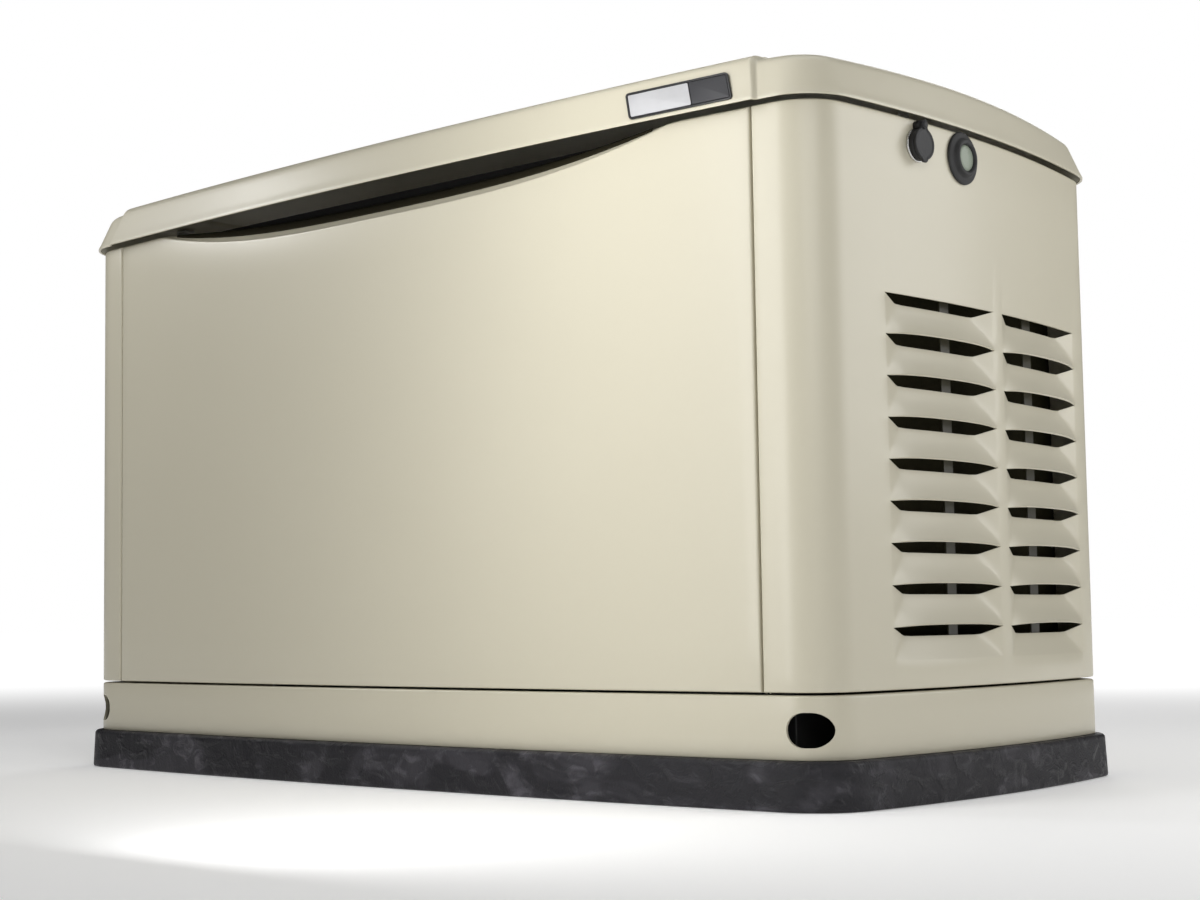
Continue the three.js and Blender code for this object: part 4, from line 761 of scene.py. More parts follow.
# ------------------------------------------------------------------ lid
# The lid is pressed from 2.5 mm steel. Its flange leans in and rolls over into a low crowned
# roof, and the middle stands proud of both end sections along a narrow joggle. It turns on
# two hinges at the back, and its lip overhangs the panels on every side.

LID_LOW, LID_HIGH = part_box("lid")
LID_LIP = LID_LOW.z
CROWN = LID_HIGH.z
OVERHANG = 0.0075
REAR_OVERHANG = 0.004
LEAN = 0.014
ROUND = 0.024
STEP = 0.0045
STEP_X = 0.5035
STEP_HALF = 0.0025
ROOF_FALL = 0.004
CORNER_FALL = 0.006
ROOF_EDGE = 0.511
END_SWEEP = 0.530
KNEE_DROP = 0.012
JOGGLE_SLANT = 0.013
JOGGLE_REACH = 0.045
SLANT_DROP = 0.006


def raised(x):
    share = min(1, max(0, (STEP_X + STEP_HALF - abs(x)) / (2 * STEP_HALF)))
    return share * share * (3 - 2 * share)


def lid_plan(station, inset):
    spot = station.at(OVERHANG - inset, 0)
    rear = WALL_DEPTH - SIDE_BOW - CORNER
    share = min(1, max(0, (spot.y - rear) / CORNER))
    return Vector((spot.x, spot.y - (OVERHANG - REAR_OVERHANG) * share, 0))


def roof(x, y, lifted):
    across = (y / WALL_DEPTH) ** 2
    beyond = max(0, abs(x) - ROOF_EDGE) / (WALL_LENGTH - ROOF_EDGE)
    return CROWN - ROOF_FALL * across - (1 - lifted) * STEP - CORNER_FALL * across * beyond


def lid():
    lines = steps(0, 0.490, 16) + [0.496, 0.499, 0.5003, 0.501, 0.502, 0.503, 0.504, 0.505, 0.506]
    lines += [0.5067, 0.508, ROOF_EDGE, 0.517, 0.525, 0.535]
    lines = [x for x in lines if x < SIDE_END_X - 0.001]
    corner = [on_corner(share) for share in steps(0, 1, 16)]
    half_front = [on_side(x) for x in lines] + corner[:9]
    half_end = corner[8:] + [on_end(y) for y in reversed(steps(0, END_END_Y, 14)[:-1])]

    def quarter(stations, right, rear):
        return [s.turned_to(right, rear) for s in stations]

    front = quarter(reversed(half_front), False, False) + quarter(half_front[1:], True, False)
    right = quarter(half_end, True, False) + quarter(reversed(half_end[:-1]), True, True)
    rear = quarter(reversed(half_front), True, True) + quarter(half_front[1:], False, True)
    left = quarter(half_end, False, True) + quarter(reversed(half_end[:-1]), False, False)
    loop = front[:-1] + right[:-1] + rear[:-1] + left[:-1]
    lifts = [raised(s.at(0, 0).x) for s in loop]
    knee = LEAN / (CROWN - KNEE_DROP - LID_LIP)
    profile = [(0.0002, 0.0), (0.0, 0.04), (0.0009, 0.10), (LEAN * 0.19, 0.20)]
    profile += [(LEAN * share, share) for share in (0.32, 0.5, 0.68, 0.85)]

    def bezier(t):
        start, middle, end = (LEAN, KNEE_DROP), (LEAN + KNEE_DROP * knee, 0), (LEAN + ROUND, 0)
        return [(1 - t) ** 2 * a + 2 * t * (1 - t) * b + t * t * c for a, b, c in zip(start, middle, end)]

    rows = []
    for inset, share in profile:
        row = []
        for s, lift in zip(loop, lifts):
            base = lid_plan(s, LEAN)
            top = roof(base.x, base.y, lift) - KNEE_DROP
            row.append((s, lift, inset, LID_LIP + (top - LID_LIP) * share))
        rows.append(row)
    for t in steps(0, 1, 10):
        inset, drop = bezier(t)
        row = []
        for s, lift in zip(loop, lifts):
            base = lid_plan(s, inset)
            row.append((s, lift, inset, roof(base.x, base.y, lift) - drop))
        rows.append(row)

    def shaped(s, lift, inset, z):
        spot = lid_plan(s, inset)
        upright = max(0, 1 - max(0, inset - LEAN) / ROUND)
        proud = STEP * lift * upright if spot.y < 0 else 0
        spot += s.facing * proud
        near = math.exp(-((abs(spot.x) - STEP_X) / JOGGLE_REACH) ** 2)
        top = CROWN - SLANT_DROP
        slant = JOGGLE_SLANT * min(1, max(0, (top - z) / (top - LID_LIP)))
        spot.x += math.copysign(slant * near, spot.x)
        return Vector((spot.x, spot.y, z))

    made = bmesh.new()
    rings = skin(made, [[shaped(*item) for item in row] for row in rows], loop=True)
    rim = rings[-1]
    wide, deep = len(front), len(right)
    spots = [vert.co.copy() for vert in rim]
    across = [spots[wide - 1 + j] for j in range(deep)]
    back = [spots[(wide - 1 + deep - 1 + (wide - 1 - i)) % len(rim)] for i in range(wide)]
    left_side = [spots[(2 * (wide - 1) + deep - 1 + (deep - 1 - j)) % len(rim)] for j in range(deep)]
    grid = {}
    for i in range(wide):
        grid[i, 0] = rim[i]
        grid[i, deep - 1] = rim[(wide - 1 + deep - 1 + (wide - 1 - i)) % len(rim)]
    for j in range(deep):
        grid[wide - 1, j] = rim[wide - 1 + j]
        grid[0, j] = rim[(2 * (wide - 1) + deep - 1 + (deep - 1 - j)) % len(rim)]
    for i in range(1, wide - 1):
        for j in range(1, deep - 1):
            low, high = spots[i], back[i]
            share = (across[j].y - across[0].y) / (across[-1].y - across[0].y)
            spot = low.lerp(high, share)
            for side, run in ((1, across), (-1, left_side)):
                reach = run[0].x
                weight = min(1, max(0, (side * spot.x - END_SWEEP) / (side * reach - END_SWEEP)))
                straight_end = run[0].lerp(run[-1], share)
                spot = spot + (run[j] - straight_end) * weight * weight * (3 - 2 * weight)
            spot.z = roof(spot.x, spot.y, raised(spot.x) if abs(spot.x) < END_SWEEP else 0)
            grid[i, j] = made.verts.new(spot)
    for i in range(wide - 1):
        for j in range(deep - 1):
            made.faces.new((grid[i, j], grid[i + 1, j], grid[i + 1, j + 1], grid[i, j + 1]))
    bmesh.ops.recalc_face_normals(made, faces=made.faces)
    face_outward(made, Vector((0, 0, 2)))
    return pressed("lid_pressing", made, 0.0025, body="lid", stands_for=["lid"])


lid()


# ------------------------------------------------------------------ nameplate
# A blank plate with rounded corners is fixed to the right end of the lid's front flange. A
# black moulded border holds a satin silver plastic field and a dark grey one, and leans with
# the joggle beside it.

def plastic(name, colour, rough, coat=0.0):
    finish = Finish(name, coat=coat)
    mottle = finish.cloud(14, 4)
    grain = finish.cloud(900, 2)
    finish.paint(colour, tuple(0.78 * part for part in colour), mottle.between(0.35, 0.7))
    finish.feed("Roughness", rough - 0.06 + 0.12 * mottle + 0.05 * grain)
    finish.relief(grain, 0.00012, 0.25)
    return finish.material


border_black = plastic("nameplate_black", (0.012, 0.012, 0.013), 0.32, coat=0.2)
field_silver = plastic("nameplate_silver", (0.50, 0.50, 0.51), 0.5)
field_grey = plastic("nameplate_grey", (0.034, 0.034, 0.038), 0.5)
PLATE_X = (0.3640, 0.4875)
PLATE_Z = (0.6840, 0.7150)
PLATE_SLANT = 0.0060
SILVER_SHARE = 0.62
FIELD_INSET = 0.0029


def on_flange(x, z, out):
    y = on_side(x).turned_to(True, False).at(0, z).y - OVERHANG - STEP
    return Vector((x, y + (z - LID_LIP) * LEAN / (CROWN - KNEE_DROP - LID_LIP) - out, z))


def plate_outline(low, high, inset, radius):
    """Outline of a leaning plate with round corners, as (x, z)."""
    middle = (PLATE_Z[0] + PLATE_Z[1]) / 2
    low_z, high_z = PLATE_Z[0] + inset, PLATE_Z[1] - inset
    outline = []
    for cx, cz, start in ((high - radius, high_z - radius, 0), (low + radius, high_z - radius, 90),
                          (low + radius, low_z + radius, 180), (high - radius, low_z + radius, 270)):
        for a in (math.radians(start + d) for d in steps(0, 90, 6)):
            x, z = cx + radius * math.cos(a), cz + radius * math.sin(a)
            outline.append((x + (middle - z) / (PLATE_Z[1] - PLATE_Z[0]) * 2 * PLATE_SLANT, z))
    return outline


def nameplate():
    low, high = PLATE_X
    made = bmesh.new()
    rows = []
    section = ((0, 0.0007), (0, 0.0020), (0.0006, 0.0026),
               (0.0019, 0.0026), (0.0024, 0.0021), (0.0026, 0.0013))
    for inset, out in section:
        outline = plate_outline(low + inset, high - inset, inset, max(0.0012, 0.0042 - inset))
        rows.append([on_flange(x, z, out) for x, z in outline])
    skin(made, rows, loop=True, cap_first=True, cap_last=True)
    bmesh.ops.recalc_face_normals(made, faces=made.faces)
    settle("nameplate_border", made, border_black, "lid", ["nameplate"])
    split = low + SILVER_SHARE * (high - low)
    for name, start, end, material in (("left", low + FIELD_INSET, split - 0.0006, field_silver),
                                       ("right", split + 0.0006, high - FIELD_INSET, field_grey)):
        made = bmesh.new()
        rows = []
        for cut, out in ((0, 0.0014), (0, 0.0018), (0.0003, 0.0020)):
            outline = plate_outline(start + cut, end - cut, FIELD_INSET + cut, 0.0016)
            rows.append([on_flange(x, z, out) for x, z in outline])
        skin(made, rows, loop=True, cap_first=True, cap_last=True)
        bmesh.ops.recalc_face_normals(made, faces=made.faces)
        settle(f"nameplate_{name}_field", made, material, "lid")


nameplate()


# ------------------------------------------------------------------ hinges and header
# Two zinc plated butt hinges turn the lid on steel pins at the back. A black folded rail
# crosses the front between the end panels, and the lid and the front panel close on it. Its
# black is painted shade, for the dark gap under the lid's front lip.

def dress(names, material, width=0.0006):
    """Gives CAD nodes their finish and, unless the width is 0, broken edges; no vertex is moved."""
    for name in names:
        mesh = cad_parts[name].data
        mesh.materials.clear()
        mesh.materials.append(material)
        if width == 0:
            continue
        for layer in ("custom_normal", "sharp_edge", "sharp_face"):
            if layer in mesh.attributes:
                mesh.attributes.remove(mesh.attributes[layer])
        mesh.shade_smooth()
        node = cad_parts[name]
        joined = node.modifiers.new("joined", "WELD")
        joined.merge_threshold = 0.00001
        soften(node, width, 34)


def brushed(name, colour, rough, along):
    finish = Finish(name, metallic=1.0)
    lines = finish.cloud(40, 4, along)
    stain = finish.cloud(18, 4)
    finish.paint(colour, tuple(0.8 * part for part in colour), stain.between(0.4, 0.75))
    finish.feed("Roughness", rough + 0.12 * lines - 0.06 + 0.06 * stain)
    finish.relief(lines, 0.00006, 0.3)
    return finish.material


def zinc_plate():
    finish = Finish("zinc_plate", metallic=1.0)
    sockets = {"Vector": finish.place, "Scale": 130.0}
    cells = finish.node("ShaderNodeTexVoronoi", None, sockets, out="Distance")
    stain = finish.cloud(24, 5)
    finish.paint((0.60, 0.61, 0.60), (0.42, 0.42, 0.39), stain * 0.7 + cells * 0.4)
    finish.feed("Roughness", 0.34 + 0.18 * stain)
    finish.relief(cells + stain, 0.0001, 0.2)
    return finish.material


zinc = zinc_plate()
turned_steel = brushed("turned_steel", (0.50, 0.50, 0.51), 0.26, (1, 22, 22))
dress(["hinge_base_leaf_left", "hinge_base_leaf_right", "hinge_lid_leaf_left", "hinge_lid_leaf_right",
       "lid_striker_left", "lid_striker_right"], zinc)
dress(["hinge_pin_left", "hinge_pin_right"], turned_steel, 0.0004)
# Painted shade: the rail is near-black so that it reads as the dark gap under the lid.
rail_painted_shade = plastic("rail_painted_shade", (0.0045, 0.0042, 0.0040), 0.7)
rail_painted_shade.node_tree.nodes["Principled BSDF"].inputs["Specular IOR Level"].default_value = 0.15
dress(["front_header_rail"], rail_painted_shade)


# ------------------------------------------------------------------ locks
# A quarter-turn lock sits in each end panel under the lid. Its housing is a black moulding with
# a bright bezel, a steel cam reaches over the lid's striker inside, and a dust cover hangs from
# a rivet over the key hole.

moulded_black = plastic("moulded_black", (0.010, 0.010, 0.011), 0.52)
bezel_steel = brushed("bezel_steel", (0.66, 0.66, 0.65), 0.24, (1, 1, 40))
dress(["lock_cam_right", "lock_cam_left"], turned_steel, 0.0004)


RIVET_UP = 0.0195
COVER_RADIUS = 0.0163
COVER_EAR = 0.0050
COVER_POINTS = 128
TAB_DROP = 0.0189
TAB_SPREAD = 0.27


def lock_cover(made, spot):
    """The hanging cover: a disc with an ear above and a finger tab below, in one outline."""
    turns = steps(0, 2 * math.pi, COVER_POINTS)[:-1]
    reach = []
    for a in turns:
        across, up = math.cos(a), math.sin(a)
        far = COVER_RADIUS
        inner = (RIVET_UP * up) ** 2 - RIVET_UP ** 2 + COVER_EAR ** 2
        if up > 0 and inner > 0:
            far = max(far, RIVET_UP * up + math.sqrt(inner))
        if up < 0 and abs(across / up) < TAB_SPREAD:
            far = max(far, TAB_DROP / -up - 0.0016 * (across / up / TAB_SPREAD) ** 4)
        reach.append(far)
    for _ in range(3):
        reach = [(reach[i - 1] + 2 * reach[i] + reach[(i + 1) % COVER_POINTS]) / 4
                 for i in range(COVER_POINTS)]
    rows = []
    for share, out in ((0.965, 0.0085), (1, 0.0089), (1, 0.0103), (0.975, 0.0110), (0.94, 0.0113),
                       (0.88, 0.0113), (0.83, 0.0106), (0.78, 0.0104), (0.5, 0.0109), (0.2, 0.0112)):
        rows.append([spot @ Vector((out, far * share * math.cos(a), far * share * math.sin(a)))
                     for far, a in zip(reach, turns)])
    skin(made, rows, loop=True, cap_first=True, cap_last=True)
    bmesh.ops.recalc_face_normals(made, faces=made.faces)


def lock(right):
    name = "right" if right else "left"
    spot = end_spot(LOCK_Y, LOCK_Z, right)
    made = bmesh.new()
    turned(made, [(0.0064, -0.0198), (0.0104, -0.0198), (0.0110, -0.0192), (0.0110, 0.0003), (0.0160, 0.0003),
                  (0.0160, 0.0062), (0.0152, 0.0079), (0.0128, 0.0079), (0.0118, 0.0068), (0.0072, 0.0068),
                  (0.0064, 0.0062), (0.0064, -0.0198)], spot)
    ear = spot @ Matrix.Translation((0, 0, RIVET_UP))
    turned(made, [(0, 0.0003), (COVER_EAR, 0.0003), (COVER_EAR, 0.0076), (0.0044, 0.0080),
                  (0.0021, 0.0080), (0.0019, 0.0114), (0.0036, 0.0114), (0.0035, 0.0122),
                  (0.0022, 0.0129), (0, 0.0131)], ear, 32)
    settle(f"{name}_lock_body", made, moulded_black, "enclosure", [f"lock_housing_{name}"])
    made = bmesh.new()
    turned(made, [(0.0160, 0.0002), (0.0170, 0.0002), (0.0172, 0.0010), (0.0170, 0.0026), (0.0161, 0.0030),
                  (0.0160, 0.0002)], spot, 64)
    settle(f"{name}_lock_bezel", made, bezel_steel, "enclosure")
    made = bmesh.new()
    lock_cover(made, spot)
    swinging = f"dust_cover_{name}"
    settle(f"{name}_lock_cover", made, moulded_black, swinging, [f"lock_dust_cover_{name}"])
    made = bmesh.new()
    turned(made, [(0.0036, 0.0112), (0.0048, 0.0112), (0.0047, 0.0119), (0.0041, 0.0122), (0.0037, 0.0119),
                  (0.0036, 0.0112)], ear, 32)
    settle(f"{name}_lock_cover_ring", made, moulded_black, swinging)


lock(True)
lock(False)


# ------------------------------------------------------------------ status light
# A stepped ring of moulded rubber fills a bore in the right end panel and grips a lens of
# clouded grey-green plastic, which shows the set's state to someone outside.

def rubber():
    finish = Finish("rubber_black")
    bloom = finish.cloud(30, 5)
    grain = finish.cloud(700, 2)
    finish.paint((0.014, 0.014, 0.014), (0.034, 0.034, 0.035), bloom.between(0.4, 0.75))
    finish.feed("Roughness", 0.55 + 0.2 * bloom)
    finish.relief(grain, 0.0002, 0.3)
    return finish.material


def lens_green():
    finish = Finish("lens_green", coat=0.1)
    sockets = {"Vector": finish.place, "Scale": 160.0}
    ribs = finish.node("ShaderNodeTexWave", {"bands_direction": "Z"}, sockets)
    milk = finish.cloud(60, 3)
    finish.paint((0.185, 0.220, 0.165), (0.290, 0.330, 0.260), milk * 0.7)
    finish.feed("Roughness", 0.34 + 0.1 * milk)
    finish.relief(ribs, 0.0003, 0.25)
    return finish.material


black_rubber = rubber()


def status_light():
    spot = end_spot(LIGHT_Y, LIGHT_Z)
    made = bmesh.new()
    turned(made, [(0.0139, -0.0045), (0.0144, -0.0040), (0.0144, 0.0003), (0.0268, 0.0003), (0.0274, 0.0010),
                  (0.0272, 0.0024), (0.0258, 0.0034), (0.0218, 0.0040), (0.0206, 0.0046), (0.0198, 0.0062),
                  (0.0186, 0.0080), (0.0172, 0.0088), (0.0158, 0.0086), (0.0146, 0.0076), (0.0139, 0.0060),
                  (0.0139, -0.0045)], spot, 72)
    settle("status_light_grommet", made, black_rubber, "enclosure", ["status_light_bezel"])
    made = bmesh.new()
    turned(made, [(0, -0.0068), (0.0128, -0.0066), (0.0137, -0.0060), (0.0138, 0.0050), (0.0131, 0.0062),
                  (0.0100, 0.0070), (0.0050, 0.0075), (0, 0.0076)], spot, 64)
    settle("status_light_cap", made, lens_green(), "enclosure", ["status_light_lens"])


status_light()


# ------------------------------------------------------------------ engine
# An air cooled V-twin with its crank lying along the enclosure. The crankcase and the finned
# barrels are die cast, the rocker covers are pressed steel, and a cast fan inside a steel
# scroll drives air over the fins.

def cast_metal(name, colour, rough):
    finish = Finish(name, metallic=0.9)
    sand = finish.cloud(520, 3)
    soot = finish.cloud(9, 5).between(0.5, 0.8)
    finish.paint(colour, tuple(0.55 * part for part in colour), soot * 0.7)
    finish.feed("Roughness", rough + 0.14 * sand + 0.08 * soot)
    finish.relief(sand, 0.0004, 0.35)
    return finish.material


def black_steel():
    finish = Finish("black_steel_paint", coat=0.1)
    peel = finish.cloud(260, 2)
    dust = finish.cloud(11, 5).between(0.52, 0.75)
    finish.paint((0.014, 0.014, 0.014), (0.046, 0.044, 0.040), dust * 0.6)
    finish.feed("Roughness", 0.36 + 0.2 * dust + 0.05 * peel)
    finish.relief(peel, 0.0002, 0.2)
    return finish.material


black_paint = black_steel()
cast_alloy = cast_metal("cast_alloy", (0.50, 0.50, 0.49), 0.44)
paper = plastic("pleated_paper", (0.62, 0.50, 0.30), 0.85)
filter_white = plastic("filter_grey", (0.52, 0.53, 0.54), 0.36, coat=0.2)
yellow = plastic("dipstick_yellow", (0.75, 0.46, 0.02), 0.35, coat=0.2)
dress(["crankcase", "cylinder_front", "cylinder_rear", "intake_manifold", "fuel_regulator",
       "bearing_carrier"], cast_alloy, 0.0008)
dress(["flywheel_fan"], cast_metal("fan_alloy", (0.42, 0.42, 0.43), 0.40), 0.0005)
dress(["rocker_cover_front", "rocker_cover_rear", "blower_housing", "starter_motor", "engine_cradle",
       "dipstick_tube"], black_paint, 0.0010)
dress(["crankshaft", "rotor_bearing"], turned_steel, 0.0004)
dress(["air_box", "air_box_cover"], moulded_black, 0.0020)
dress(["air_filter"], paper, 0.0004)
dress(["oil_filter"], filter_white, 0.0012)
dress(["dipstick"], yellow, 0.0006)

rotor_low, rotor_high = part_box("alternator_rotor")
CRANK = Vector((0, (rotor_low.y + rotor_high.y) / 2, (rotor_low.z + rotor_high.z) / 2))
SCROLL_BOLTS = 0.134
CARRIER_BOLTS = 0.100
SUNK = 0.0002


def screw(made, spot, head, height):
    """A washer with a hexagon head on it, along the X axis of `spot`."""
    washer = head * 1.3
    turned(made, [(0, 0), (washer, 0), (washer, height * 0.2), (head, height * 0.24),
                  (0, height * 0.24)], spot, 24)
    turned(made, [(head, height * 0.2), (head, height * 0.85), (head * 0.86, height), (0, height)], spot, 6)


def facing(spot, out):
    """A frame at `spot` whose X axis is `out`."""
    out = Vector(out).normalized()
    side = (Vector((0, 0, 1)) if abs(out.z) < 0.9 else Vector((0, 1, 0))).cross(out).normalized()
    return Matrix.Translation(Vector(spot)) @ Matrix((out, side, out.cross(side))).transposed().to_4x4()


def bolt_ring(bolts, x, out, radius, turns, head, height):
    """Screws in a ring round the crank that face `out` along it."""
    for a in (math.radians(turn) for turn in turns):
        spot = CRANK + Vector((x, radius * math.cos(a), radius * math.sin(a)))
        screw(bolts, facing(spot, (out, 0, 0)), head, height)


def engine_details():
    bolts = bmesh.new()
    for side, low, high in ((-1, *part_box("rocker_cover_front")), (1, *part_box("rocker_cover_rear"))):
        up = Vector((0, side * math.sin(math.radians(45)), math.cos(math.radians(45))))
        across = Vector((0, up.z, -up.y))
        top = (low + high) / 2 + up * 0.017
        for x in (-0.030, 0.030):
            screw(bolts, facing(top + Vector((x, 0, 0)) - up * SUNK, up), 0.0055, 0.0065)
    scroll_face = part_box("blower_housing")[0].x - SUNK
    bolt_ring(bolts, scroll_face, -1, SCROLL_BOLTS, steps(20, 380, 8)[:-1], 0.0045, 0.0050)
    carrier_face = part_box("bearing_carrier")[0].x + 0.0102
    bolt_ring(bolts, carrier_face, 1, CARRIER_BOLTS, (45, 135, 225, 315), 0.0050, 0.0070)
    settle("engine_bolts", bolts, zinc, "enclosure")


engine_details()


# ------------------------------------------------------------------ alternator and exhaust
# The alternator bolts to the crankcase: a stack of steel laminations round a wound rotor. The
# exhaust crosses a plated bulkhead into the left bay, where the rolled and banded muffler
# colours blue and straw with heat.

def laminations():
    finish = Finish("stator_laminations", metallic=0.8)
    sockets = {"Vector": finish.place, "Scale": 300.0}
    sheets = finish.node("ShaderNodeTexWave", {"bands_direction": "X"}, sockets)
    varnish = finish.cloud(16, 4)
    finish.paint((0.060, 0.058, 0.056), (0.120, 0.105, 0.088), varnish * 0.5 + sheets * 0.3)
    finish.feed("Roughness", 0.42 + 0.18 * sheets)
    finish.relief(sheets, 0.0003, 0.4)
    return finish.material


def windings():
    finish = Finish("copper_windings", metallic=0.85, coat=0.4)
    sockets = {"Vector": finish.place, "Scale": 190.0}
    turns = finish.node("ShaderNodeTexWave", {"bands_direction": "X"}, sockets)
    varnish = finish.cloud(22, 4)
    finish.paint((0.46, 0.17, 0.07), (0.24, 0.08, 0.035), varnish * 0.6 + turns * 0.3)
    finish.feed("Roughness", 0.30 + 0.15 * varnish)
    finish.relief(turns, 0.0005, 0.5)
    return finish.material


def heat_steel():
    finish = Finish("heat_marked_steel", metallic=0.9)
    heat = finish.cloud(7, 4, warp=0.6)
    scale = finish.cloud(60, 6)
    tone = finish.blend((0.300, 0.270, 0.235), (0.205, 0.150, 0.110), heat.between(0.42, 0.62))
    finish.paint(tone, (0.120, 0.120, 0.150), scale.between(0.55, 0.75) * 0.6)
    finish.feed("Roughness", 0.40 + 0.22 * scale)
    finish.relief(scale, 0.0003, 0.3)
    return finish.material


hot_steel = heat_steel()
dress(["alternator_stator"], laminations(), 0.0008)
dress(["alternator_rotor"], windings(), 0.0008)
dress(["exhaust_manifold", "muffler"], hot_steel, 0.0010)
dress(["exhaust_divider"], zinc, 0.0005)


MUFFLER_RADIUS = 0.098
BAND_INSET = 0.085


def muffler_bands():
    """Two clamping bands round the muffler, each with its screw on top."""
    low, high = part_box("muffler")
    axis = Vector((high.x - MUFFLER_RADIUS, 0, high.z - MUFFLER_RADIUS))
    made = bmesh.new()
    for y in (low.y + BAND_INSET, high.y - BAND_INSET):
        spot = facing((axis.x, y, axis.z), (0, 1, 0))
        turned(made, [(0.0982, -0.011), (0.0996, -0.011), (0.1000, -0.0105), (0.1000, 0.0105),
                      (0.0996, 0.011), (0.0982, 0.011), (0.0982, -0.011)], spot, 96)
        screw(made, facing((axis.x, y, axis.z + 0.0998), (0, 0, 1)), 0.0050, 0.0060)
    settle("muffler_bands", made, zinc, "enclosure")


muffler_bands()


# ------------------------------------------------------------------ fuel line
# The steel inlet pipe comes through the rear panel in a rubber grommet and feeds the cast
# regulator, and a rubber hose goes on to the intake.

dress(["fuel_inlet_pipe"], black_paint, 0.0005)
dress(["fuel_hose"], black_rubber, 0.0003)


def fuel_grommet():
    wall = on_side(FUEL_X)
    spot = facing(wall.at(0, FUEL_Z), wall.facing)
    made = bmesh.new()
    turned(made, [(0.0148, -0.0045), (0.0195, -0.0045), (0.0200, -0.0038), (0.0198, -0.0024),
                  (0.0162, -0.0022), (0.0162, 0.0002), (0.0205, 0.0004), (0.0208, 0.0012),
                  (0.0200, 0.0026), (0.0158, 0.0034), (0.0148, 0.0030), (0.0148, -0.0045)], spot, 48)
    settle("fuel_pipe_grommet", made, black_rubber, "enclosure")


fuel_grommet()


# ------------------------------------------------------------------ battery and controls
# A twelve volt battery stands in the right front bay under the control box. Red and black
# cables rise from its posts. The controller and the main breaker look out of the box's face,
# which only shows with the front panel off.

box_grey = plastic("controller_grey", (0.235, 0.245, 0.250), 0.45)
dress(["battery"], moulded_black, 0.0012)
dress(["control_box"], zinc, 0.0008)
dress(["controller"], box_grey, 0)
dress(["main_breaker"], moulded_black, 0.0008)
dress(["breaker_toggle"], plastic("toggle_white", (0.72, 0.71, 0.68), 0.35, coat=0.2), 0.0006)
dress(["auto_button"], plastic("button_green", (0.03, 0.24, 0.06), 0.3, coat=0.4), 0.0006)
dress(["off_button"], plastic("button_red", (0.42, 0.02, 0.015), 0.3, coat=0.4), 0.0006)
dress(["manual_button"], plastic("button_blue", (0.02, 0.09, 0.36), 0.3, coat=0.4), 0.0006)


def tube(made, points, radius):
    """A round lead or pipe through the points, smoothed, with closed ends."""
    points = [Vector(point) for point in points]
    padded = [2 * points[0] - points[1], *points, 2 * points[-1] - points[-2]]
    path = []
    for i in range(len(points) - 1):
        a, b, c, d = padded[i:i + 4]
        for t in steps(0, 1, 8)[:-1]:
            path.append(0.5 * (2 * b + (c - a) * t + (2 * a - 5 * b + 4 * c - d) * t ** 2
                               + (3 * b - a - 3 * c + d) * t ** 3))
    path.append(points[-1])
    side = (path[1] - path[0]).orthogonal().normalized()
    rows = []
    for i, spot in enumerate(path):
        ahead = (path[min(i + 1, len(path) - 1)] - path[max(i - 1, 0)]).normalized()
        side = (side - ahead * side.dot(ahead)).normalized()
        other = ahead.cross(side)
        rows.append([spot + radius * (math.cos(a) * side + math.sin(a) * other)
                     for a in steps(0, 2 * math.pi, 18)[:-1]])
    skin(made, rows, loop=True, cap_first=True, cap_last=True)


CABLE_RADIUS = 0.0048


def battery_cables():
    low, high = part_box("battery")
    box_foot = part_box("control_box")[0].z
    colours = (("positive", low.x + 0.030, plastic("cable_red", (0.40, 0.02, 0.015), 0.42)),
               ("negative", high.x - 0.030, black_rubber))
    for name, x, material in colours:
        made = bmesh.new()
        post = Vector((x, low.y + 0.028, high.z))
        turned(made, [(0.0096, -0.0100), (0.0135, -0.0100), (0.0138, -0.0090), (0.0138, -0.0020),
                      (0.0130, -0.0010), (0.0096, -0.0010), (0.0096, -0.0100)], facing(post, (0, 0, 1)), 36)
        settle(f"battery_{name}_clamp", made, turned_steel, "enclosure")
        made = bmesh.new()
        back = post + Vector((0, 0.012, -0.006))
        top = Vector((min(x, 0.480), -0.190, box_foot - 0.0006))
        tube(made, [back, back + Vector((0, 0.028, 0.012)), top - Vector((0, 0, 0.080)), top], CABLE_RADIUS)
        settle(f"battery_{name}_cable", made, material, "enclosure")


battery_cables()


def display_glass():
    finish = Finish("display_glass", coat=0.8)
    cells = finish.node("ShaderNodeTexChecker", None, {"Vector": finish.place, "Scale": 900.0}, out="Fac")
    haze = finish.cloud(40, 3)
    finish.paint((0.052, 0.070, 0.050), (0.070, 0.090, 0.062), cells * 0.5 + haze * 0.5)
    finish.feed("Roughness", 0.12 + 0.06 * haze)
    return finish.material


DISPLAY_DROP = 0.042
DISPLAY_CORNER = 0.003


def controller_face():
    """The display's glass, a low rounded block on the controller's face."""
    low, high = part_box("controller")
    made = bmesh.new()
    rows = []
    middle = Vector(((low.x + high.x) / 2, 0, high.z - DISPLAY_DROP))
    section = ((0.0340, 0.0180, 0), (0.0340, 0.0180, 0.0010),
               (0.0330, 0.0170, 0.0014), (0.0310, 0.0150, 0.0014))
    for wide, tall, out in section:
        outline = []
        for cx, cz, start in ((1, 1, 0), (-1, 1, 90), (-1, -1, 180), (1, -1, 270)):
            for a in (math.radians(start + d) for d in steps(0, 90, 5)):
                outline.append((cx * (wide - DISPLAY_CORNER) + DISPLAY_CORNER * math.cos(a),
                                cz * (tall - DISPLAY_CORNER) + DISPLAY_CORNER * math.sin(a)))
        rows.append([Vector((middle.x + x, low.y + 0.0001 - out, middle.z + z)) for x, z in outline])
    skin(made, rows, loop=True, cap_first=True, cap_last=True)
    bmesh.ops.recalc_face_normals(made, faces=made.faces)
    settle("controller_display", made, display_glass(), "enclosure")


controller_face()


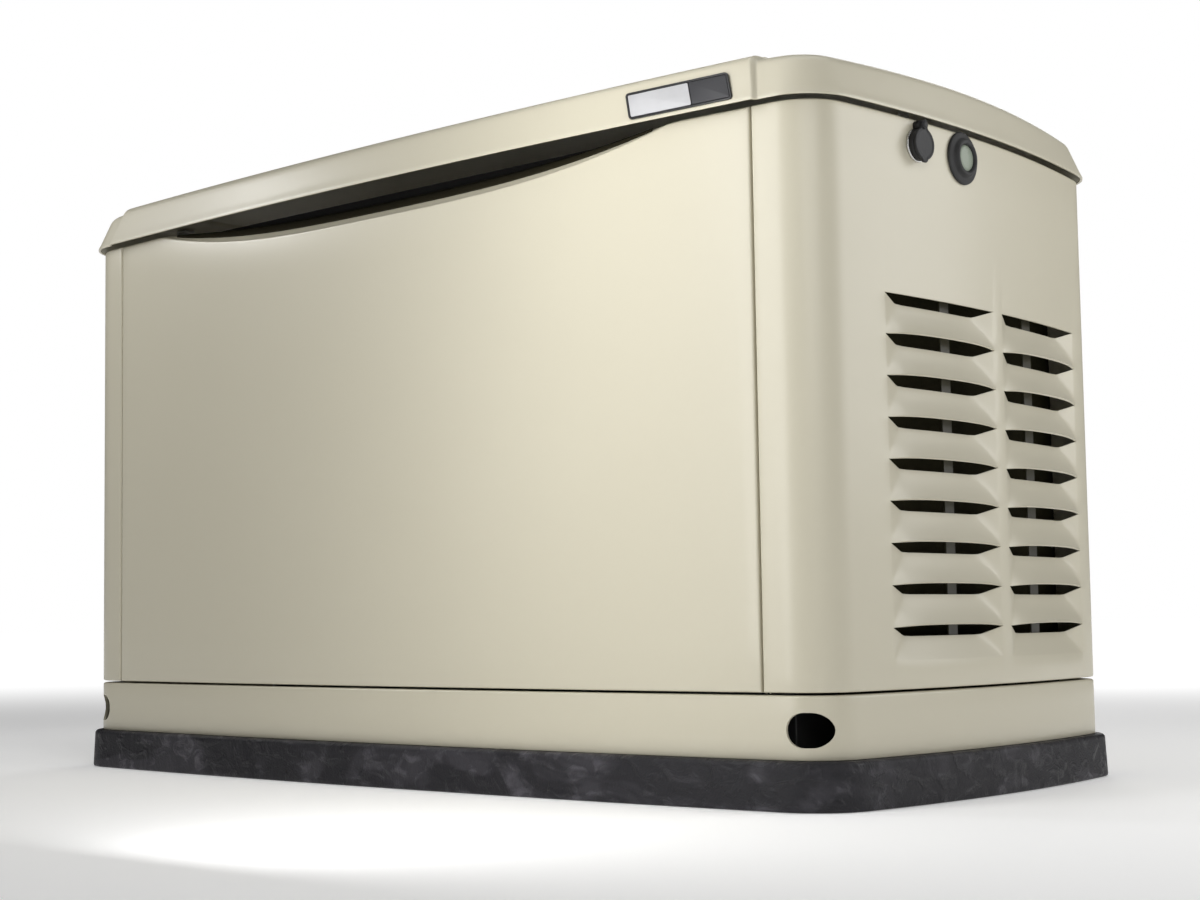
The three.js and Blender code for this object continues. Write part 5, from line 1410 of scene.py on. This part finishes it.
# ------------------------------------------------------------------ stage
# A pale studio floor under soft light: boxes round and above the set, an upright strip close
# to the bowed front, and a white surround. The floor glows with painted light, dim near the
# set and near white further out.

FLOOR_RADIUS = 60
FLOOR_DROP = 0.0005


def floor():
    made = bmesh.new()
    bmesh.ops.create_circle(made, cap_ends=True, cap_tris=False, segments=96, radius=FLOOR_RADIUS)
    mesh = bpy.data.meshes.new("studio_floor")
    made.to_mesh(mesh)
    made.free()
    finish = Finish("studio_floor")
    finish.paint((0.90, 0.90, 0.90), (0.88, 0.88, 0.88), finish.cloud(0.8, 2))
    finish.feed("Roughness", 0.9)
    # Painted light: the floor glows, dim close to the set and near white from 4.5 m out.
    away = finish.node("ShaderNodeVectorMath", {"operation": "LENGTH"}, {0: finish.place}, out="Value")
    painted_floor_glow = finish.blend((0.22, 0.22, 0.22), (0.96, 0.96, 0.96), away.between(1.4, 4.5))
    finish.feed("Emission Color", painted_floor_glow)
    finish.feed("Emission Strength", 1.0)
    mesh.materials.append(finish.material)
    piece = bpy.data.objects.new("studio_floor", mesh)
    bpy.context.scene.collection.objects.link(piece)
    piece.location.z = -FLOOR_DROP


floor()


def soft_light(name, spot, target, size, power):
    lamp = bpy.data.lights.new(name, "AREA")
    lamp.shape = "RECTANGLE"
    lamp.size, lamp.size_y = size
    lamp.energy = power
    holder = bpy.data.objects.new(name, lamp)
    bpy.context.scene.collection.objects.link(holder)
    holder.location = spot
    holder.rotation_mode = "QUATERNION"
    holder.rotation_quaternion = (Vector(target) - Vector(spot)).to_track_quat("-Z", "Y")
    holder.visible_camera = False


soft_light("front_strip", (0.36, -0.70, 0.56), (0.37, -0.3, 0.42), (0.20, 1.0), 2.5)
soft_light("front_box", (-1.50, -2.85, 0.95), (0.25, -0.3, 0.42), (1.25, 1.3), 3)
soft_light("left_box", (-1.15, -0.85, 1.20), (-0.55, -0.25, 0.66), (0.3, 0.5), 5.4)
soft_light("corner_box", (2.6, -2.0, 1.5), (0.60, -0.20, 0.40), (1.6, 1.6), 19)
soft_light("end_box", (2.2, 1.15, 1.25), (0.6, 0.12, 0.46), (1.7, 1.7), 24)
soft_light("top_box", (0.4, -0.2, 2.6), (0.1, -0.1, 0.7), (2.4, 1.4), 11)
soft_light("rear_box", (-1.2, 3.0, 1.8), (-0.1, 0.3, 0.4), (1.4, 1.8), 24)

surround = bpy.data.worlds.new("studio_surround")
surround.use_nodes = True
air = surround.node_tree
even = air.nodes["Background"]
even.inputs["Color"].default_value = (1, 1, 1, 1)
even.inputs["Strength"].default_value = 0.05
backdrop = air.nodes.new("ShaderNodeBackground")
backdrop.inputs["Color"].default_value = (1, 1, 1, 1)
backdrop.inputs["Strength"].default_value = 1.0
seen = air.nodes.new("ShaderNodeLightPath")
either = air.nodes.new("ShaderNodeMixShader")
air.links.new(seen.outputs["Is Camera Ray"], either.inputs[0])
air.links.new(even.outputs[0], either.inputs[1])
air.links.new(backdrop.outputs[0], either.inputs[2])
air.links.new(either.outputs[0], air.nodes["World Output"].inputs[0])
bpy.context.scene.world = surround
bpy.context.scene.view_settings.view_transform = "Standard"

CAMERA_SPOT = (1.594, -1.8295, 0.1813)
CAMERA_TURNS = (41.95, 4.50, -0.722)

lens = bpy.data.cameras.new("camera")
lens.sensor_width = 36
lens.lens = 58.884
lens.shift_x = 0.0594167
lens.shift_y = 0.0135833
camera = bpy.data.objects.new("camera", lens)
bpy.context.scene.collection.objects.link(camera)
yaw, pitch, roll = (math.radians(a) for a in CAMERA_TURNS)
ahead = Vector((-math.sin(yaw) * math.cos(pitch), math.cos(yaw) * math.cos(pitch), math.sin(pitch)))
level = Vector((math.cos(yaw), math.sin(yaw), 0))
above = level.cross(ahead)
right_way = level * math.cos(roll) + above * math.sin(roll)
up_way = above * math.cos(roll) - level * math.sin(roll)
turn = Matrix((right_way, up_way, -ahead)).transposed()
camera.matrix_world = Matrix.Translation(CAMERA_SPOT) @ turn.to_4x4()
bpy.context.scene.camera = camera
